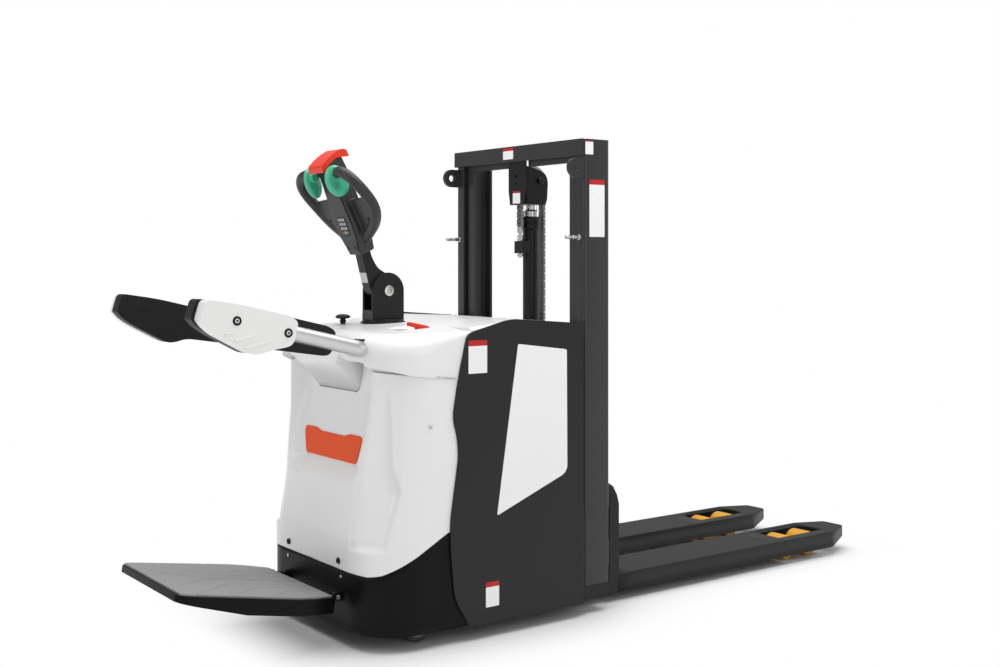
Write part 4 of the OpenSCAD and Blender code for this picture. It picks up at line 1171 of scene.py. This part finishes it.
arm = side_plate([(*head_point(-13, 12), 3), (*head_point(16, 12), 3), (-737, 1066, 24),
                  (-716, 1042, 24), (-676, 1022, 16), (-661, 985, 14), (-670, 956, 12),
                  (-702, 950, 12), (-738, 965, 8), (-751, 996, 6)], -21.5, 21.5)
make_piece("tiller_arm", arm, "tiller", tiller_paint, ["tiller_arm"], edge=3.5,
           steps=3)
back_low, back_high = Vector((-751.5, 0, 1002)), Vector((-768.5, 0, 1081))
label = block((-1.2, -18.5, 0), (0, 18.5, (back_high - back_low).length))
lean = math.atan2(back_high.x - back_low.x, back_high.z - back_low.z)
label.transform(Matrix.Translation(back_low + Vector((-1.2, 0, 0)))
                @ Matrix.Rotation(lean, 4, "Y"))
label_grey = film("grey_film", (0.55, 0.55, 0.56))
make_piece("tiller_label", label, "tiller", label_grey, edge=0.4)

# ---- Tiller head ----
# A two-part glass-filled nylon shell: a broad spine, and a closed grip loop on each side that
# curves towards the operator. A face panel carries the membrane keypad; screws hold it together.


def softened(points, rounds=3):
    """Rounds off an open path by cutting its corners."""
    points = [Vector(point) for point in points]
    for _ in range(rounds):
        cut = [points[0]]
        for a, b in zip(points, points[1:]):
            cut += [a * 0.75 + b * 0.25, a * 0.25 + b * 0.75]
        points = cut + [points[-1]]
    return points


def swept(path, radius, steps=24):
    """A round bar bent along a path, closed at both ends."""
    tube = bmesh.new()
    rings, normal = [], None
    for number, point in enumerate(path):
        ahead = path[min(len(path) - 1, number + 1)] - path[max(0, number - 1)]
        ahead.normalize()
        normal = ahead.orthogonal() if normal is None else normal - ahead * normal.dot(ahead)
        normal.normalize()
        side = ahead.cross(normal)
        rings.append([tube.verts.new(point + (normal * math.cos(2 * math.pi * step / steps)
                                              + side * math.sin(2 * math.pi * step / steps))
                                     * radius) for step in range(steps)])
    for ring, after in zip(rings, rings[1:]):
        for step in range(steps):
            tube.faces.new((ring[step], ring[step - 1], after[step - 1], after[step]))
    tube.faces.new(rings[0])
    tube.faces.new(rings[-1])
    bmesh.ops.recalc_face_normals(tube, faces=tube.faces)
    return tube


def blob(centre, radii, turn, dish):
    """An ellipsoid turned by some degrees about its height, with a dish in its outer face."""
    round_shape = bmesh.new()
    bmesh.ops.create_icosphere(round_shape, subdivisions=5, radius=1)
    for vertex in round_shape.verts:
        if vertex.co.y > 0:
            vertex.co.y -= dish * (1 - ease(math.hypot(vertex.co.x, vertex.co.z), 0, 0.8))
    round_shape.transform(Matrix.Translation(centre)
                          @ Matrix.Rotation(math.radians(turn), 4, "Z")
                          @ Matrix.Diagonal((*radii, 1)))
    return round_shape


def melt(piece, grain, rounds):
    """Fuses overlapping shapes into one moulded skin and softens where they meet."""
    fused = piece.modifiers.new("fused", "REMESH")
    fused.mode = "VOXEL"
    fused.voxel_size = grain / 1000
    fused.use_smooth_shade = True
    soft = piece.modifiers.new("softened", "SMOOTH")
    soft.factor = 0.5
    soft.iterations = rounds


def in_head(mesh):
    mesh.transform(HEAD)
    return mesh


spine_side = [(33, 2), (42, 30), (54, 60), (60, 88), (54, 130), (50, 160), (46, 215), (44, 262),
              (38, 290)]
spine = across(spine_side + [(-v, u) for v, u in reversed(spine_side)], [], -25, 24)
neck = across([(-31, 0), (31, 0), (38, 26), (-38, 26)], [], -19, 18)
grip_path = [(-24, 58, 254), (-32, 92, 262), (-36, 124, 258), (-34, 150, 240), (-28, 164, 216),
             (-19, 168, 190), (-9, 167, 164), (0, 159, 134), (4, 142, 108), (5, 118, 86),
             (4, 88, 68), (2, 60, 52), (0, 30, 40)]
web = across([(36, 40), (72, 58), (112, 82), (140, 106), (156, 134), (162, 166), (110, 170),
              (44, 164)], [], -6, 9)
shell = in_head(joined(spine, neck, with_mirror(joined(swept(softened(grip_path), 16), web))))
head_plastic = finish("head_moulding", (0.022, 0.022, 0.023), 0.44, 1500, 0.00005, dust=0.03,
                      shine=0.4)
head = make_piece("tiller_head", shell, "tiller", head_plastic, ["tiller_head"])
melt(head, 2.2, 6)
face = across([(-26, 12), (26, 12), (36, 36), (44, 66), (46, 92), (42, 132), (38, 176), (34, 222),
               (-34, 222), (-38, 176), (-42, 132), (-46, 92), (-44, 66), (-36, 36)], [], -28.4, -24)
make_piece("head_face", in_head(face), "tiller", head_plastic, edge=1.6, steps=3)
sockets = [aimed(turned([(0, -1.5), (2.4, -1.5), (2.8, 0.6), (4.6, 0.6), (5.2, -0.4), (0, -0.4)],
                        20), point, (-1, 0, 0))
           for point in ((-28.6, 20, 26), (-28.6, -20, 26), (-7, 112, 104), (-7, -112, 104))]
make_piece("head_screws", in_head(joined(*sockets)), "tiller", black_plastic_and_shade)

# ---- Keypad ----
# A membrane keypad of four rows of three: a dark film with printed, gently domed grey keys; the
# last row has a red and a green key. There is no lettering on it.
make_piece("keypad", in_head(block((-29.4, -20, 64), (-28.2, 20, 122))), "tiller",
           black_plastic_and_shade, ["keypad"], edge=0.5)
key_grey = film("key_grey", (0.42, 0.42, 0.43))
key_green = film("key_green", (0.05, 0.33, 0.16))
for name, material, spots in (
        ("keys_grey", key_grey, [(v, u) for u in (115, 101.5, 88) for v in (-12.5, 0, 12.5)]
         + [(0, 74.5)]), ("keys_red", red_film, [(12.5, 74.5)]),
        ("keys_green", key_green, [(-12.5, 74.5)])):
    keys = joined(*[block((-30.6, v - 4.6, u - 4.4), (-29, v + 4.6, u + 4.4)) for v, u in spots])
    make_piece(name, in_head(keys), "tiller", material, edge=0.7)

# ---- Thumb levers and belly switch ----
# The speed control: two green moulded ears on one shaft through the head. The red safety switch
# is a soft-edged moulded cap that the head's top end carries on springs.
ears = with_mirror(joined(blob((-37, 72, 236), (33, 15, 47), 24, 1.15),
                          swept([Vector((-38, 44, 252)), Vector((-38, 74, 252))], 12)))
lever_green = finish("lever_green", (0.045, 0.46, 0.27), 0.3, 900, 0.00002, dust=0.02, coat=0.3)
levers = make_piece("thumb_levers", in_head(ears), "levers", lever_green,
                    ["thumb_levers"])
melt(levers, 1.6, 8)
cap_outline = [(-54, 267, 4), (-51, 288, 6), (-30, 299, 12), (2, 309, 14), (34, 313, 12),
               (45, 303, 8), (46, 283, 4), (30, 288, 8), (12, 292, 10), (-8, 290, 10),
               (-28, 282, 12), (-42, 270, 5)]
switch_red = finish("switch_red", (0.74, 0.035, 0.010), 0.32, 900, 0.00002, dust=0.01, shine=0.35)
make_piece("belly_switch", in_head(side_plate(cap_outline, -41, 41)), "belly_cap",
           switch_red, ["belly_switch"], edge=6, angle=40, steps=5)

# ---- Stop knob and battery handle ----
# A black mushroom knob on a ball stem, and the red T-shaped paddle that pulls the battery plug
# apart; it leans in its hollow, beside a dark oval opening.
knob = round_post([(0, 872), (9, 872), (10, 874), (7, 877), (6.5, 880), (9, 883), (10, 887),
                   (8, 891), (7, 893), (19, 895), (22.5, 898), (22, 901.5), (17, 905), (8, 907),
                   (0, 907.5)], -785, 75, 40)
make_piece("stop_knob", knob, "knob", black_plastic_and_shade, ["stop_knob"])
paddle = bmesh.new()
shapes = [block((-36, -13, -6), (30, 13, 6)), block((-10, -9, -34), (10, 9, 0))]
paddle = joined(*shapes)
paddle.transform(Matrix.Translation((-692, -200, 880)) @ Matrix.Rotation(math.radians(12), 4, "Y"))
make_piece("disconnect_handle", paddle, "red_handle", switch_red,
           ["disconnect_handle"], edge=4.5, steps=4)
# The opening is drawn as a thin black oval disc: painted shade standing in for the dark inside of
# the opening.
opening = across(arc(0, 0, 1, 0, 350, 35), [], -0.5, 0.5)
opening.transform(Matrix.Translation((-757, -200, 871.5)) @ Matrix.Rotation(math.radians(90), 4, "Y")
                  @ Matrix.Diagonal((1, 15, 26, 1)))
make_piece("handle_opening", opening, "chassis", black_plastic_and_shade)

# ---- Side arms ----
# Each arm is a bright steel tube bent a quarter turn into a pivot block behind the cover. A black
# backing and a white shell clamp it; two recessed screws join them. Grooves mark the white shell.
ARM = Matrix.Translation((-915, 0, 826)) @ Matrix.Rotation(math.radians(13.5), 4, "Y")
ARM_Y = 280
socket = side_plate([(-905, 796, 6), (-857, 796, 6), (-857, 852, 6), (-905, 852, 6)], 194, 230)
make_piece("arm_sockets", with_mirror(socket), "chassis", black_steel,
           ["arm_sockets"], edge=3)
bend = [Vector((-494, ARM_Y, 0)), Vector((-300, ARM_Y, 0))]
bend += [Vector((-40 + 40 * math.sin(turn), ARM_Y - 40 + 40 * math.cos(turn), 0))
         for turn in [math.radians(6 * step) for step in range(16)]]
bend.append(Vector((0, 198, 0)))
tube_steel = finish("satin_chrome_tube", (0.62, 0.62, 0.62), 0.42, 300, 0.00003, metallic=1.0,
                    dust=0.02)
pad_white = finish("pad_white", (0.80, 0.80, 0.79), 0.42, 1400, 0.00004, dust=0.03)
# The black of the backing; the same finish also paints the shade in the screw recesses of the white
# shell.
pad_black = finish("pad_black", (0.005, 0.005, 0.0055), 0.5, 1300, 0.00008, dust=0.02, shine=0.25)


def pad_shape(front):
    """The pad's outline in the arm's own frame, with the swell under the tube."""
    tip = -508 if front < 200 else -499
    return [(tip + 3, 32, 12), (-404, 40, 30), (-front - 25, 40, 12), (-front, 30, 10),
            (-front, -28, 12), (-front - 16, -39, 16), (-290, -54, 18), (-323, -72, 12),
            (-345, -76, 12), (-378, -68, 20), (-466, -45, 20), (tip + 12, -31, 14), (tip, -20, 12)]


def arm_part(mesh, sign):
    if sign < 0:
        bmesh.ops.scale(mesh, verts=mesh.verts, vec=(1, -1, 1))
        bmesh.ops.reverse_faces(mesh, faces=mesh.faces)
    mesh.transform(ARM)
    return mesh


# A black ring round each screw of the white shell: painted shade in the screw's round recess, under
# a zinc screw head.
recess_shade_ring = [(0, 1.6), (8.5, 1.6), (9.5, 3.2), (11.5, 3.2), (12.5, 0), (0, 0)]
seat_screw = [(0, 1.4), (2.6, 1.4), (3, 4), (5.6, 4), (6.4, 3), (6.4, 0), (0, 0)]
for side, sign in (("left", 1), ("right", -1)):
    body = f"arm_{side}"
    make_piece(f"arm_tube_{side}", arm_part(swept(bend, 21.5, 36), sign), body,
               tube_steel, [f"arm_tube_{side}"])
    make_piece(f"arm_pad_{side}", arm_part(side_plate(pad_shape(235), ARM_Y + 1, ARM_Y + 40), sign),
               body, pad_white, [f"arm_pad_{side}"], edge=9, angle=40, steps=5)
    make_piece(f"arm_backing_{side}",
               arm_part(side_plate(pad_shape(100), ARM_Y - 40, ARM_Y + 1), sign), body,
               pad_black, [f"arm_backing_{side}"], edge=7, angle=40, steps=4)
    for name, profile, material in (("seats", recess_shade_ring, pad_black), ("screws", seat_screw, zinc)):
        seats = [aimed(turned(profile, 32), (-s, ARM_Y + 38.6, h), (0, 1, 0))
                 for s, h in ((403, -2), (257, -3))]
        make_piece(f"arm_{name}_{side}", arm_part(joined(*seats), sign), body,
                   material)
    backs = [aimed(turned([(0, 0.4), (5, 0.4), (6, 2), (8, 2), (9, 0), (0, 0)], 24),
                   (-s, ARM_Y - 39, h), (0, -1, 0)) for s, h in ((430, -2), (300, -3))]
    make_piece(f"arm_backing_screws_{side}", arm_part(joined(*backs), sign), body,
               pad_black)
    ribs = [swept([Vector((-a[0], ARM_Y + 37.4, a[1])), Vector((-b[0], ARM_Y + 37.4, b[1]))], 5, 12)
            for a, b in (((425, -41), (402, -29)), ((396, -52), (351, -30)),
                         ((364, -64), (297, -31)))]
    make_piece(f"arm_ribs_{side}", arm_part(joined(*ribs), sign), body, pad_white)

# ---- Platform ----
# A folded steel tread on two hinge pins, black at its sides, topped by a grey ribbed rubber mat.
# Thin grooves run back from the hinge and turn outwards near the sides.
DECK = Matrix.Translation((-934, 0, 142)) @ Matrix.Rotation(math.radians(9.8), 4, "Y")


def deck_half(x):
    return along(x, (-490, 197), (-482, 208), (-466, 216), (-450, 220), (-212, 236), (-150, 238),
                 (-100, 228), (-26, 198))


deck_side = [(-26, 198, 3), (-100, 228, 20), (-150, 238, 16), (-212, 236), (-300, 230),
             (-450, 220, 24), (-490, 197, 14)]
deck_outline = deck_side + [(p[0], -p[1], *p[2:]) for p in reversed(deck_side)]
deck = bar(deck_outline, -42, -0.5)
for vertex in deck.verts:
    if vertex.co.z < -30:
        vertex.co.z = along(vertex.co.x, (-490, -18), (-480, -20), (-300, -43), (-130, -43))
hinges = with_mirror(side_plate([(-32, -14, 3), (0, -10, 3), (10, 0, 3), (0, 0), (-32, 0)],
                                137, 164))
deck = joined(deck, hinges)
deck.transform(DECK)
make_piece("platform_deck", deck, "platform", skirt.data.materials[0],
           ["platform_deck"], edge=3, angle=35, steps=3)
GROOVES = ((10, -340), (58, -280), (101, -219), (141, -144))


def mat_height(x, y):
    """The mat's surface: thin grooves, level with the deck's edge at its rounded rim."""
    deep = 0
    for line, turn in GROOVES:
        away = abs(abs(y) - line - max(0, turn - x) * 0.92)
        deep = max(deep, 1 - ease(away, 1.0, 2.6))
    return 4 - 2.6 * deep


mat = sheet_over(spaced(-480, -38, step=2.6), spaced(-1, 1, step=0.0066), lambda x, y: 0)
for vertex in mat.verts:
    x, y = vertex.co.x, vertex.co.y * (deck_half(vertex.co.x) - 10)
    vertex.co = (x, y, mat_height(x, y))
drop_rim(mat, lambda x, y: -0.5)
mat.transform(DECK)
mat_grey = finish("mat_rubber", (0.30, 0.30, 0.305), 0.5, 500, 0.0001, dust=0.05)
make_piece("platform_mat", mat, "platform", mat_grey, ["platform_mat"], angle=50)
hinge_bolt = [(0, 2), (2.6, 2), (3.2, 4), (5.4, 4), (6, 3), (6, 0), (0, 0)]
bolts = joined(*[aimed(turned(hinge_bolt, 24), DECK @ Vector((0, side * 165, -6)), (0, side, 0))
                 for side in (-1, 1)],
               *[aimed(turned([(0, 2), (4, 2), (6, 0), (0, 0)], 20),
                       DECK @ Vector((-31, side * 178, 0)), DECK.to_3x3() @ Vector((0, 0, 1)))
                 for side in (-1, 1)])
make_piece("platform_bolts", bolts, "platform", zinc)
paint_nodes(black_steel, "platform_brackets")
